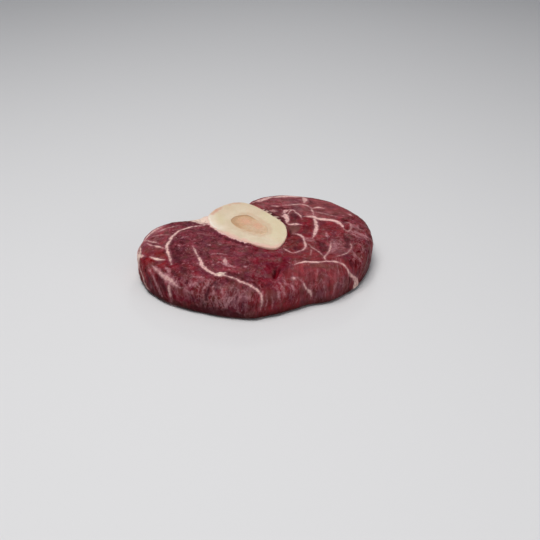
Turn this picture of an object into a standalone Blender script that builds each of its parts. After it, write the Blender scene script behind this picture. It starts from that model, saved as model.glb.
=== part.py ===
"""A raw cross-cut slice of beef shank, lying on its cut face.

The slice is a slab of several muscles, wrapped round a marrow bone that shows at the back edge.
Each tissue is one object: the muscle slab, the bone ring, the marrow inside it, the fat wedge
between muscle and bone, and the two pieces of outer fat that show on the side wall.

The origin is on the table, under the middle of the slice. +Z is up, along the leg bone, +X runs
along the slice's longer side and +Y points to the side where the bone is bare.
Plan positions and sizes below are in millimetres.
"""

import math

import bmesh
import bpy
import numpy as np

MM = 0.001

# Driving sizes
MUSCLE_HEIGHT = 19.0
BONE_HEIGHT = 20.2
TISSUE_GAP = 0.3

# How finely each form is divided
SLAB_SIDES = 112
SLAB_RINGS = 13
UPPER_STEPS = 5
LOWER_STEPS = 3
BONE_SIDES = 56
FAT_SIDES = 40
CURVE_STEPS = 24
FINE_POINTS = 1200

# The slice's widest outline, anticlockwise from the front. Behind the bone it runs inside the
# bone, so that the bone's back is bare.
OUTLINE = [
    (-4.4, -56.3), (9.6, -52.4), (21.1, -46.8), (28.1, -42.8), (34.6, -41.2), (42.1, -37.6),
    (54.6, -25.6), (62.6, -10.3), (66.6, 8.2), (64.4, 23.6), (53.6, 40.7), (38.6, 52.0),
    (21.6, 56.2), (5.6, 54.7), (-4.9, 47.7), (-11.4, 36.2), (-22.4, 25.2), (-32.9, 23.7),
    (-41.4, 19.4), (-52.4, 16.0), (-61.9, 6.7), (-65.9, -6.3), (-66.2, -17.3), (-60.1, -30.8),
    (-47.0, -43.6), (-25.8, -52.4),
]

# The side wall's rounding, as the inset and the drop of its upper edge. That edge is rounder at
# the front, where the muscle slumps, and FRONT_POWER sets how soon it turns into the front form.
LOWER_ROUND = 3.2
UPPER_ROUND_BACK = (6.5, 6.0)
UPPER_ROUND_FRONT = (13.0, 9.0)
FRONT_POWER = 1.5

# The muscles' rises and hollows on the cut face: centre, half axes, turn in degrees, height
RISES = [
    ((-39.4, -7.8), (17.0, 24.0), 20.0, 1.3),
    ((-58.4, -3.8), (9.0, 14.0), 10.0, 0.6),
    ((-13.4, -28.8), (18.0, 12.0), -20.0, 0.8),
    ((32.6, -31.8), (20.0, 11.0), 12.0, 1.2),
    ((21.6, -7.8), (6.5, 9.0), 10.0, 0.9),
    ((38.6, 4.2), (10.0, 12.0), 0.0, 0.9),
    ((48.6, 26.2), (16.0, 9.0), -35.0, 1.0),
    ((18.6, 42.2), (17.0, 8.0), 0.0, 0.9),
    ((58.6, 0.2), (7.0, 14.0), 0.0, 0.7),
    ((-52.4, -27.8), (10.0, 6.0), -40.0, -1.2),
    ((9.6, -35.8), (4.5, 10.0), -6.0, -1.1),
    ((18.6, 12.2), (3.5, 13.0), 12.0, -1.6),
    ((-21.4, -1.8), (12.0, 4.0), -38.0, -0.6),
]

# The narrow cleft between the two front muscles: centre, half axes and turn in degrees
CLEFT_CENTRE = (9.6, -39.8, 18.6)
CLEFT_HALF = (1.1, 6.5, 3.2)
CLEFT_TURN = -6.0

# The bone's outer outline and its marrow cavity, anticlockwise
BONE_OUTLINE = [
    (8.6, -16.1), (14.0, -10.3), (16.6, 1.2), (14.6, 13.2), (6.1, 25.2), (-4.9, 36.6),
    (-14.8, 38.6), (-24.6, 31.5), (-29.8, 20.4), (-27.4, 8.8), (-16.8, -2.9), (-4.4, -11.0),
]
MARROW_OUTLINE = [
    (0.1, -1.2), (5.2, 1.0), (4.9, 7.4), (-0.4, 15.0), (-6.9, 21.7), (-13.4, 20.0),
    (-16.0, 13.8), (-10.7, 5.4),
]
BONE_CENTRE = (-6.4, 11.2)
BONE_EDGE = 0.9
BONE_EDGE_TURN = 45.0
MARROW_EDGE = 0.6

# The marrow's top: how far its rim lies below the bone's face, the slope of its dish, and how far
# in towards the middle each ring of the dish lies. Its bottom stays MARROW_CLEAR off the table.
MARROW_DROP = 1.0
MARROW_DISH = 0.7
MARROW_SHARES = (0.2, 0.45, 0.7)
MARROW_CLEAR = 0.4

# The fat: outlines of the prisms that cut each piece out of the slab, anticlockwise
FAT_OUTLINES = {
    "fat_wedge": [(-43.0, 18.4), (-36.9, 14.8), (-32.0, 12.0), (-26.5, 11.0), (-21.4, 18.2),
                  (-33.4, 26.2)],
    "fat_left": [(-75.4, -16.8), (-65.4, -32.8), (-59.4, -28.3), (-65.0, -16.3), (-65.6, -3.8)],
    "fat_right": [(52.6, -33.3), (59.1, -26.8), (53.1, -22.4), (48.6, -26.3)],
}

# The cutters reach past the slice's two faces
CUTTER_FLOOR = -6.0
CUTTER_TOP = 31.0

# Colours and finish of the tissues, with linear red, green and blue
FINISHES = {
    "muscle": ((0.19, 0.035, 0.042), 0.34),
    "bone": ((0.68, 0.55, 0.39), 0.45),
    "marrow": ((0.60, 0.36, 0.24), 0.38),
    "fat": ((0.78, 0.60, 0.50), 0.36),
}
SHARP_ANGLE = 40.0


def clear_scene():
    for obj in list(bpy.data.objects):
        bpy.data.objects.remove(obj)


def finish(tissue):
    """The Principled material of one tissue, made once."""
    if tissue in bpy.data.materials:
        return bpy.data.materials[tissue]
    colour, roughness = FINISHES[tissue]
    material = bpy.data.materials.new(tissue)
    material.use_nodes = True
    shader = material.node_tree.nodes["Principled BSDF"]
    shader.inputs["Base Color"].default_value = (*colour, 1.0)
    shader.inputs["Roughness"].default_value = roughness
    shader.inputs["Metallic"].default_value = 0.0
    return material


def smooth_loop(points, count):
    """count points at even steps along the closed Catmull-Rom curve through the given points."""
    knots = np.array(points, float)
    a, b, c, d = (np.roll(knots, shift, axis=0)[:, None] for shift in (1, 0, -1, -2))
    t = np.linspace(0.0, 1.0, CURVE_STEPS, endpoint=False)[None, :, None]
    curve = b + 0.5 * t * ((c - a) + t * ((2 * a - 5 * b + 4 * c - d) + t * (3 * (b - c) + d - a)))
    curve = curve.reshape(-1, 2)
    closed = np.vstack([curve, curve[:1]])
    run = np.concatenate([[0.0], np.cumsum(np.linalg.norm(np.diff(closed, axis=0), axis=1))])
    steps = np.linspace(0.0, run[-1], count, endpoint=False)
    return np.column_stack([np.interp(steps, run, closed[:, k]) for k in (0, 1)])


def aimed_loop(points, count):
    """The smooth loop read at even angles round BONE_CENTRE, so that two such loops pair up."""
    centre = np.array(BONE_CENTRE)
    fine = smooth_loop(points, FINE_POINTS) - centre
    turn = np.arctan2(fine[:, 1], fine[:, 0])
    reach = np.linalg.norm(fine, axis=1)
    angles = np.linspace(0.0, 2 * math.pi, count, endpoint=False)
    radius = np.interp(angles, turn, reach, period=2 * math.pi)
    return centre + radius[:, None] * np.column_stack([np.cos(angles), np.sin(angles)])


def outward(loop):
    """Unit normals of an anticlockwise loop, pointing out of it."""
    along = np.roll(loop, -1, axis=0) - np.roll(loop, 1, axis=0)
    normal = np.column_stack([along[:, 1], -along[:, 0]])
    return normal / np.linalg.norm(normal, axis=1)[:, None]


def grown(loop, amount):
    """The loop moved out by amount, or in if it is negative."""
    return loop + outward(loop) * amount


def raised(loop, height):
    """The loop's points with one height."""
    return np.column_stack([loop, np.full(len(loop), height)])


def muscle_rise(x, y):
    """Height of the cut face above MUSCLE_HEIGHT, from the muscles' rises and hollows."""
    height = np.zeros_like(x)
    for (cx, cy), (half_x, half_y), turn, rise in RISES:
        angle = math.radians(turn)
        along = (x - cx) * math.cos(angle) + (y - cy) * math.sin(angle)
        across = (y - cy) * math.cos(angle) - (x - cx) * math.sin(angle)
        height = height + rise * np.exp(-((along / half_x) ** 2) - (across / half_y) ** 2)
    return height


def slab_rings():
    """The slab's rings of points from the floor, up the wall and in over the cut face."""
    loop = smooth_loop(OUTLINE, SLAB_SIDES)
    normal = outward(loop)
    front = np.clip(-normal[:, 1], 0.0, 1.0)[:, None] ** FRONT_POWER
    edge = np.array(UPPER_ROUND_BACK) * (1 - front) + np.array(UPPER_ROUND_FRONT) * front
    inset, drop = edge[:, 0], edge[:, 1]
    rings = []
    for step in range(LOWER_STEPS + 1):
        angle = 0.5 * math.pi * step / LOWER_STEPS
        ring = loop - normal * LOWER_ROUND * (1 - math.sin(angle))
        rings.append(raised(ring, LOWER_ROUND * (1 - math.cos(angle))))
    for step in range(UPPER_STEPS + 1):
        angle = 0.5 * math.pi * step / UPPER_STEPS
        ring = loop - normal * (inset * (1 - math.cos(angle)))[:, None]
        top = MUSCLE_HEIGHT + muscle_rise(ring[:, 0], ring[:, 1])
        rings.append(np.column_stack([ring, top - drop * (1 - math.sin(angle))]))
    shoulder = rings[-1][:, :2]
    centre = np.array(BONE_CENTRE)
    for step in range(1, SLAB_RINGS):
        ring = shoulder + (centre - shoulder) * step / SLAB_RINGS
        top = MUSCLE_HEIGHT + muscle_rise(ring[:, 0], ring[:, 1])
        rings.append(np.column_stack([ring, top]))
    return rings


def mesh_from_rings(name, rings, ring_shaped=False):
    """A closed mesh of quads between the rings.

    The first and last rings are filled, or joined to each other where the form is ring shaped.
    """
    bm = bmesh.new()
    loops = [[bm.verts.new(point * MM) for point in ring] for ring in rings]
    pairs = list(zip(loops, loops[1:]))
    if ring_shaped:
        pairs.append((loops[-1], loops[0]))
    else:
        bm.faces.new(loops[0][::-1])
        bm.faces.new(loops[-1])
    for low, high in pairs:
        for k in range(len(low)):
            nxt = (k + 1) % len(low)
            bm.faces.new((low[k], low[nxt], high[nxt], high[k]))
    bmesh.ops.recalc_face_normals(bm, faces=bm.faces)
    mesh = bpy.data.meshes.new(name)
    bm.to_mesh(mesh)
    bm.free()
    return mesh


def add_object(name, mesh, tissue=None):
    """Links an object. With no tissue it is a cutter, which isn't rendered."""
    obj = bpy.data.objects.new(name, mesh)
    bpy.context.scene.collection.objects.link(obj)
    if tissue is None:
        obj.hide_render = True
        obj.display_type = "WIRE"
    else:
        mesh.materials.append(finish(tissue))
        shade(mesh)
    return obj


def shade(mesh):
    """Smooth shading that keeps the cut edges sharp."""
    mesh.shade_smooth()
    mesh.set_sharp_from_angle(angle=math.radians(SHARP_ANGLE))


def add_prism(name, loop):
    """A hidden cutter: the loop pushed up through the whole slice and past both faces."""
    ends = [raised(loop, height) for height in (CUTTER_FLOOR, CUTTER_TOP)]
    return add_object(name, mesh_from_rings(name, ends))


def add_boolean(obj, cutter, operation):
    modifier = obj.modifiers.new(f"{operation.lower()}_{cutter.name}", "BOOLEAN")
    modifier.operation = operation
    modifier.object = cutter
    modifier.solver = "EXACT"


def apply_booleans(obj):
    """Turns the cut shape into the object's own mesh, so that its new edges can be sharp."""
    graph = bpy.context.evaluated_depsgraph_get()
    mesh = bpy.data.meshes.new_from_object(obj.evaluated_get(graph))
    obj.modifiers.clear()
    obj.data = mesh
    mesh.name = obj.name
    shade(mesh)


def make_cleft():
    """The lens that opens the cleft in the cut face."""
    bm = bmesh.new()
    bmesh.ops.create_icosphere(bm, subdivisions=2, radius=1.0)
    bmesh.ops.scale(bm, vec=[half * MM for half in CLEFT_HALF], verts=bm.verts)
    mesh = bpy.data.meshes.new("cleft")
    bm.to_mesh(mesh)
    bm.free()
    cleft = add_object("cleft", mesh)
    cleft.location = [place * MM for place in CLEFT_CENTRE]
    cleft.rotation_euler.z = math.radians(CLEFT_TURN)
    return cleft


def make_bone():
    """The bone: a ring with softened edges, open from top to bottom for the marrow."""
    outer = aimed_loop(BONE_OUTLINE, BONE_SIDES)
    inner = aimed_loop(MARROW_OUTLINE, BONE_SIDES)
    half = BONE_EDGE * (1 - math.cos(math.radians(BONE_EDGE_TURN)))
    profile = [
        (inner, -MARROW_EDGE, 0.0),
        (outer, -BONE_EDGE, 0.0),
        (outer, -half, half),
        (outer, 0.0, BONE_EDGE),
        (outer, 0.0, BONE_HEIGHT - BONE_EDGE),
        (outer, -half, BONE_HEIGHT - half),
        (outer, -BONE_EDGE, BONE_HEIGHT),
        (inner, MARROW_EDGE, BONE_HEIGHT),
        (inner, 0.0, BONE_HEIGHT - MARROW_EDGE),
        (inner, -MARROW_EDGE, MARROW_EDGE),
    ]
    rings = [raised(grown(loop, amount), height) for loop, amount, height in profile]
    add_object("bone", mesh_from_rings("bone", rings, ring_shaped=True), "bone")


def make_marrow():
    """The marrow: a plug that fills the bone, with a dished top just under the bone's face."""
    inner = aimed_loop(MARROW_OUTLINE, BONE_SIDES)
    centre = np.array(BONE_CENTRE)
    low = grown(inner, -MARROW_EDGE - TISSUE_GAP)
    high = grown(inner, -TISSUE_GAP)
    rim = BONE_HEIGHT - MARROW_DROP
    rings = [raised(low, MARROW_CLEAR), raised(high, rim)]
    for share in MARROW_SHARES:
        rings.append(raised(high + (centre - high) * share, rim - MARROW_DISH * share))
    add_object("marrow", mesh_from_rings("marrow", rings), "marrow")


def make_tissues():
    """The muscle slab and the fat pieces, all cut from one shape so that their faces run on."""
    slab = mesh_from_rings("slab", slab_rings())
    meat = add_object("meat", slab.copy(), "muscle")
    bone_outer = aimed_loop(BONE_OUTLINE, BONE_SIDES)
    bone_cutter = add_prism("bone_cutter", grown(bone_outer, TISSUE_GAP))
    add_boolean(meat, bone_cutter, "DIFFERENCE")
    add_boolean(meat, make_cleft(), "DIFFERENCE")
    for name, outline in FAT_OUTLINES.items():
        loop = smooth_loop(outline, FAT_SIDES)
        fat = add_object(name, slab.copy(), "fat")
        add_boolean(fat, add_prism(f"{name}_form", grown(loop, -TISSUE_GAP)), "INTERSECT")
        add_boolean(meat, add_prism(f"{name}_cutter", loop), "DIFFERENCE")
        if name == "fat_wedge":
            add_boolean(fat, bone_cutter, "DIFFERENCE")
        apply_booleans(fat)
    apply_booleans(meat)


def main():
    clear_scene()
    make_bone()
    make_marrow()
    make_tissues()


main()
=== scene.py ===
"""The looks of a raw cross-cut slice of beef shank.

Each CAD node is replaced by a finely divided piece of the same form. The pieces carry attributes
that say where the seams of fat, the skins and the single muscles are, and the materials draw
their grain from those. Plan positions and sizes are in millimetres, in the CAD's own frame.
"""

import math

import bpy
import numpy as np
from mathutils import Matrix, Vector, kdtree


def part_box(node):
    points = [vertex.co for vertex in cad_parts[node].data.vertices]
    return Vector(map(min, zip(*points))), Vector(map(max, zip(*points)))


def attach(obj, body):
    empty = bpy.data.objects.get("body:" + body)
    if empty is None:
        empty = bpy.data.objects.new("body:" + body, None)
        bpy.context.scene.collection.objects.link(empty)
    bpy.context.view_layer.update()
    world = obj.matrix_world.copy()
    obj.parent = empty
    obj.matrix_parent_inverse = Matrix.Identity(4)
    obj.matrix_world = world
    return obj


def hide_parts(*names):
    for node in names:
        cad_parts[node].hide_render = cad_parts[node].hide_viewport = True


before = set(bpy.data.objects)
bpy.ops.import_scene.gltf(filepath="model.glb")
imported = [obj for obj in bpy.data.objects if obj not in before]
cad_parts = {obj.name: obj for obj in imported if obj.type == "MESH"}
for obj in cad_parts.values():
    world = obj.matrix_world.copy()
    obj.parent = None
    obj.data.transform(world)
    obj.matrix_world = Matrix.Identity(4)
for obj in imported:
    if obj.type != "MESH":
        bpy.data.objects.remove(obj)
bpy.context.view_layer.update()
MM = 0.001
TURN = 2 * math.pi
TINY = 1e-9
UP = (0.0, 0.0, 1.0)
DOWN = (0.0, 0.0, -1.0)

# The slice's form, as the CAD has it
MUSCLE_HEIGHT = 19.0
BONE_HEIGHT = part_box("bone")[1].z / MM
OUTLINE = [
    (-4.4, -56.3), (9.6, -52.4), (21.1, -46.8), (28.1, -42.8), (34.6, -41.2), (42.1, -37.6), (54.6, -25.6),
    (62.6, -10.3), (66.6, 8.2), (64.4, 23.6), (53.6, 40.7), (38.6, 52.0), (21.6, 56.2), (5.6, 54.7),
    (-4.9, 47.7), (-11.4, 36.2), (-22.4, 25.2), (-32.9, 23.7), (-41.4, 19.4), (-52.4, 16.0), (-61.9, 6.7),
    (-65.9, -6.3), (-66.2, -17.3), (-60.1, -30.8), (-47.0, -43.6), (-25.8, -52.4),
]
LOWER_ROUND = 3.2
UPPER_ROUND_BACK = (6.5, 6.0)
UPPER_ROUND_FRONT = (13.0, 9.0)
FRONT_POWER = 1.5
RISES = [
    ((-39.4, -7.8), (17.0, 24.0), 20.0, 1.3),
    ((-58.4, -3.8), (9.0, 14.0), 10.0, 0.6),
    ((-13.4, -28.8), (18.0, 12.0), -20.0, 0.8),
    ((32.6, -31.8), (20.0, 11.0), 12.0, 1.2),
    ((21.6, -7.8), (6.5, 9.0), 10.0, 0.9),
    ((38.6, 4.2), (10.0, 12.0), 0.0, 0.9),
    ((48.6, 26.2), (16.0, 9.0), -35.0, 1.0),
    ((18.6, 42.2), (17.0, 8.0), 0.0, 0.9),
    ((58.6, 0.2), (7.0, 14.0), 0.0, 0.7),
    ((-52.4, -27.8), (10.0, 6.0), -40.0, -1.2),
    ((9.6, -35.8), (4.5, 10.0), -6.0, -1.1),
    ((18.6, 12.2), (3.5, 13.0), 12.0, -1.6),
    ((-21.4, -1.8), (12.0, 4.0), -38.0, -0.6),
]
BONE_OUTLINE = [
    (8.6, -16.1), (14.0, -10.3), (16.6, 1.2), (14.6, 13.2), (6.1, 25.2), (-4.9, 36.6), (-14.8, 38.6),
    (-24.6, 31.5), (-29.8, 20.4), (-27.4, 8.8), (-16.8, -2.9), (-4.4, -11.0),
]
MARROW_OUTLINE = [
    (0.1, -1.2), (5.2, 1.0), (4.9, 7.4), (-0.4, 15.0), (-6.9, 21.7), (-13.4, 20.0), (-16.0, 13.8),
    (-10.7, 5.4),
]
BONE_CENTRE = np.array((-6.4, 11.2))
FAT_OUTLINES = {
    "fat_wedge": [(-43.0, 18.4), (-36.9, 14.8), (-32.0, 12.0), (-26.5, 11.0), (-21.4, 18.2), (-33.4, 26.2)],
    "fat_left": [(-75.4, -16.8), (-65.4, -32.8), (-59.4, -28.3), (-65.0, -16.3), (-65.6, -3.8)],
    "fat_right": [(52.6, -33.3), (59.1, -26.8), (53.1, -22.4), (48.6, -26.3)],
}

# How finely the pieces are divided
MEAT_SIDES = 640
BONE_SIDES = 360
FAT_SIDES = 90
INNER_WALL_ROWS = 3
FINE_RINGS = {"edge": 22, "top": 78, "foot": 7, "floor": 18, "wall": 15}
MEAT_RINGS = FINE_RINGS
FAT_RINGS = {"edge": 12, "top": 22, "foot": 4, "floor": 6, "wall": 24}
BONE_ANGLES = np.linspace(0.0, TURN, BONE_SIDES, endpoint=False)

# The kinds of attribute, by the shape of a point's value
ATTRIBUTE_KINDS = {(): ("FLOAT", "value"), (3,): ("FLOAT_VECTOR", "vector"), (4,): ("FLOAT_COLOR", "color")}

# Seams of fat, and painted highlights along the silhouette drawn the same way: width, how pale, and
# the curve on the surface. A tuple of widths is spread along the curve. A seam on the cut face stays there,
# and one with heights runs down the wall.
SEAMS = {
    "left_arc": ((0.9, 1.2, 1.1, 1.2, 1.1, 0.9), 1.0, [(-31, 10), (-39, 6.5), (-45, 1), (-48.5, -8),
        (-49.5, -18), (-47.5, -24), (-45, -33)]),
    "left_branch": (1.0, 0.8, [(-61, -12.4), (-59.2, -13.9), (-56.2, -15.4), (-52.7, -16.9),
        (-49.4, -18.6)]),
    "left_branch_upper": (1.0, 0.75, [(-63.6, -7.6, 18.2), (-60.2, -10.2), (-56.2, -11.5), (-54.3, -13.1)]),
    "left_branch_back": (0.8, 0.5, [(-58.8, -5.1), (-54.4, -4), (-49.5, -3.3)]),
    "left_strand": (0.7, 0.5, [(-57, -1), (-54.2, 2.6), (-50.1, 6.2), (-45.3, 9.2)]),
    "left_back_rim": ((1.2, 1.6, 2.2, 2.2, 1.4, 0.8), 0.80, [(-64.6, -10, 17.6), (-63.9, -6.6, 17.8),
        (-62.6, -4, 18.4), (-60.9, -1.5, 19.1), (-58.1, 2.9, 19.4), (-53.8, 8, 19.4)]),
    "middle_arc": ((0.5, 1.0, 1.5, 1.6, 1.1, 0.95, 0.95, 0.7), 0.95, [(-35.8, -16), (-34, -20.5),
        (-31.5, -26), (-28, -35.8), (-21, -42.4), (-17, -42.6), (-9.8, -46.2), (-3, -50), (0.3, -52, 16.4),
        (2.5, -53.5, 14.3), (3, -54.9, 11.5), (2.2, -55.6, 6.5)]),
    "middle_knot": (3.2, 1.0, [(-21.4, -42.8), (-18.4, -41.8), (-16.4, -40.6)]),
    "left_stroke": (1.6, 1.0, [(-58, -24), (-53.5, -26.8), (-49.4, -27.4)]),
    # the outer fat's edge, with a painted highlight along the silhouette
    "left_rim": ((1.2, 2.2, 2.6, 1.6), 0.9, [(-65, -11.6, 17.2), (-65, -14.5, 17), (-64.6, -18.4, 16.1),
        (-63.9, -23.3, 14)]),
    "left_patch": ((2.8, 1.8, 0.6), 0.9, [(-64.4, -18.6, 15.6), (-61.9, -22, 17.1), (-60.3, -23.2, 17.5)]),
    "left_rim_foot": ((1.6, 1.3, 1.1, 0.9, 0.8), 0.8, [(-63.9, -22.6, 14.4), (-63.6, -24.8, 11.1),
        (-62.8, -26.4, 8.3), (-61.4, -28.8, 6), (-59.5, -31.5, 3.9), (-56.9, -34.8, 3.6)]),
    "fan_band": ((0.6, 1.0, 1.4, 1.6, 1.2, 0.8), 0.62, [(-55.8, -30.5, 16.7), (-52, -35.7, 16.4),
        (-48.3, -39.7, 15.9), (-45.4, -42, 15.6), (-43.8, -43.2, 15.2), (-41, -45.7, 13.8),
        (-39.3, -46.9, 13.1)]),
    "left_wall_streak": ((1.2, 1.7, 1.2, 1.5, 1.2, 1.0), 0.85, [(-44.2, -41.9, 16), (-44.7, -43.6, 13.8),
        (-45, -44.4, 11.1), (-44.9, -44.6, 7.5), (-44.8, -44.5, 4.2), (-44.8, -44, 2)]),
    "right_front_arc": ((0.8, 1.1, 1.4, 1.3, 1.2, 1.1, 1.1, 1.2, 2.0, 3.0, 4.4, 4.6), 0.90, [(19.5, -32),
        (24.5, -29.4), (32, -29.8), (36.6, -28.6), (41.6, -28), (45, -28.4, 18.5), (46.7, -29.2, 17.5),
        (48.6, -30.3, 15.3), (50.5, -30.1, 12.2), (52.5, -28.1, 9), (53.9, -26.4, 5.5), (53.8, -26.5, -4)]),
    "right_arc": (0.7, 0.65, [(41, -24), (45.5, -21), (49.3, -17.4), (51.4, -12.5), (52, -6)]),
    "right_stem": (0.8, 0.65, [(41, -6), (40.4, -12), (38.8, -18), (36.2, -23.3), (36.8, -28.2)]),
    "right_twig": (0.7, 0.40, [(27, -8), (29.6, -11.8), (33, -17.6), (36.2, -23.3)]),
    "small_twig": (0.6, 0.5, [(29.4, -15.6), (28.9, -21.4)]),
    "round_muscle_loop": ((0.9, 1.0, 1.0, 1.1, 0.9, 0.3, 0.7), 0.85, [(20, 5.2), (23.2, 2.4), (25.6, -3),
        (26.7, -9), (26.2, -13.6), (23, -17.6), (19.6, -19.2)]),
    "round_muscle_foot": (0.9, 0.65, [(14.5, -14.5), (17, -17.5), (19.4, -19.6)]),
    "upright": ((1.3, 1.8, 1.9, 1.7, 1.2), 0.95, [(33, 23), (33.7, 16), (33.6, 8.5), (32.4, 2.4),
        (31, -3.3)]),
    "crossbar": ((1.2, 1.8, 2.5, 2.6, 2.4, 2.2, 1.7, 1.0), 0.95, [(26.8, 24.2), (31.9, 23.6), (35.3, 21),
        (40, 19.8), (44.4, 18.6), (47.2, 15.8), (48.9, 12.2), (49.6, 8.8)]),
    "knot_top_left": (2.1, 0.95, [(14.2, 28.2), (16.2, 30.6), (18.8, 31.8)]),
    "knot_upright": ((2.2, 2.7, 2.4, 1.6), 0.95, [(15, 28.8), (16.2, 25.4), (17, 22.1), (16.8, 18.9),
        (16.3, 16.2)]),
    "knot_spur": (1.2, 0.8, [(13.4, 23), (15.6, 25.8)]),
    "knot_top": (0.9, 0.75, [(17.6, 27.4), (20, 31.4), (22.8, 28.8), (25, 25.1), (25.8, 20.6)]),
    "knot_foot": ((1.4, 1.9, 1.9, 1.3), 1.0, [(16.6, 16.2), (19.4, 15.8), (22.2, 14.8), (25.6, 12.8)]),
    "back_stroke": (1.1, 0.75, [(7, 36.5), (12.6, 36)]),
    "back_arc": (0.8, 0.75, [(14.6, 36.5), (19, 37.8), (24.2, 38.6), (28.6, 37.6), (31.6, 35), (32.4, 30.6),
        (33, 24.4)]),
    "back_arc_right": (1.3, 0.8, [(32.4, 33.4), (36.3, 35.6), (40, 33.8)]),
    "back_bone_strand": (0.7, 0.55, [(2.8, 34.4), (6.8, 32.2), (11.5, 30.2)]),
    "back_upright": (3.2, 0.75, [(27.4, 50.5), (28.2, 45.8), (28.2, 40.7)]),
    # painted highlights along the back silhouette, drawn as pale seams
    "back_rim_highlight": ((1.8, 2.6, 2.4, 1.6), 0.85, [(-3.9, 41.3, 18.7), (0.3, 43.3, 19.3), (4.8, 47, 19.3),
        (10, 50.6, 19)]),
    "back_rim_top_highlight": ((1.6, 3.0, 2.0, 3.2, 1.6), 0.85, [(8, 48.4, 19.3), (13, 49.2, 19.3), (18, 50, 19.3),
        (23, 50.2, 19.2), (28, 49.8, 19.2)]),
    "back_line": (0.7, 0.4, [(33.3, 29.5), (39.4, 27), (46.3, 23.5)]),
    "rim_speck": (1.5, 0.75, [(53.6, 27), (55.7, 24.6)]),
    "small_ring": (0.8, 0.45, [(50.2, 15.6), (53.4, 15.4), (54, 10.6), (51.4, 6.6), (49.6, 9.6)]),
    "middle_fleck_top": ((1.5, 1.9, 1.3), 0.60, [(-17.2, -26.5), (-17, -30), (-15.8, -33.6)]),
    "front_dot": (2.4, 0.85, [(18.2, -42.2), (19.6, -42.6)]),
    "front_arc": ((2.4, 2.0, 1.6, 1.6), 0.75, [(24.4, -43.4, 14.8), (25.6, -43.6, 13), (26.9, -43.3, 10.8),
        (28.1, -42.9, 8.4), (28.4, -42.8, 5)]),
    "wedge_edge": (1.3, 0.85, [(-43, 17.8), (-38.4, 15.0), (-33.6, 12.2), (-29, 9.6)]),
}
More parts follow.
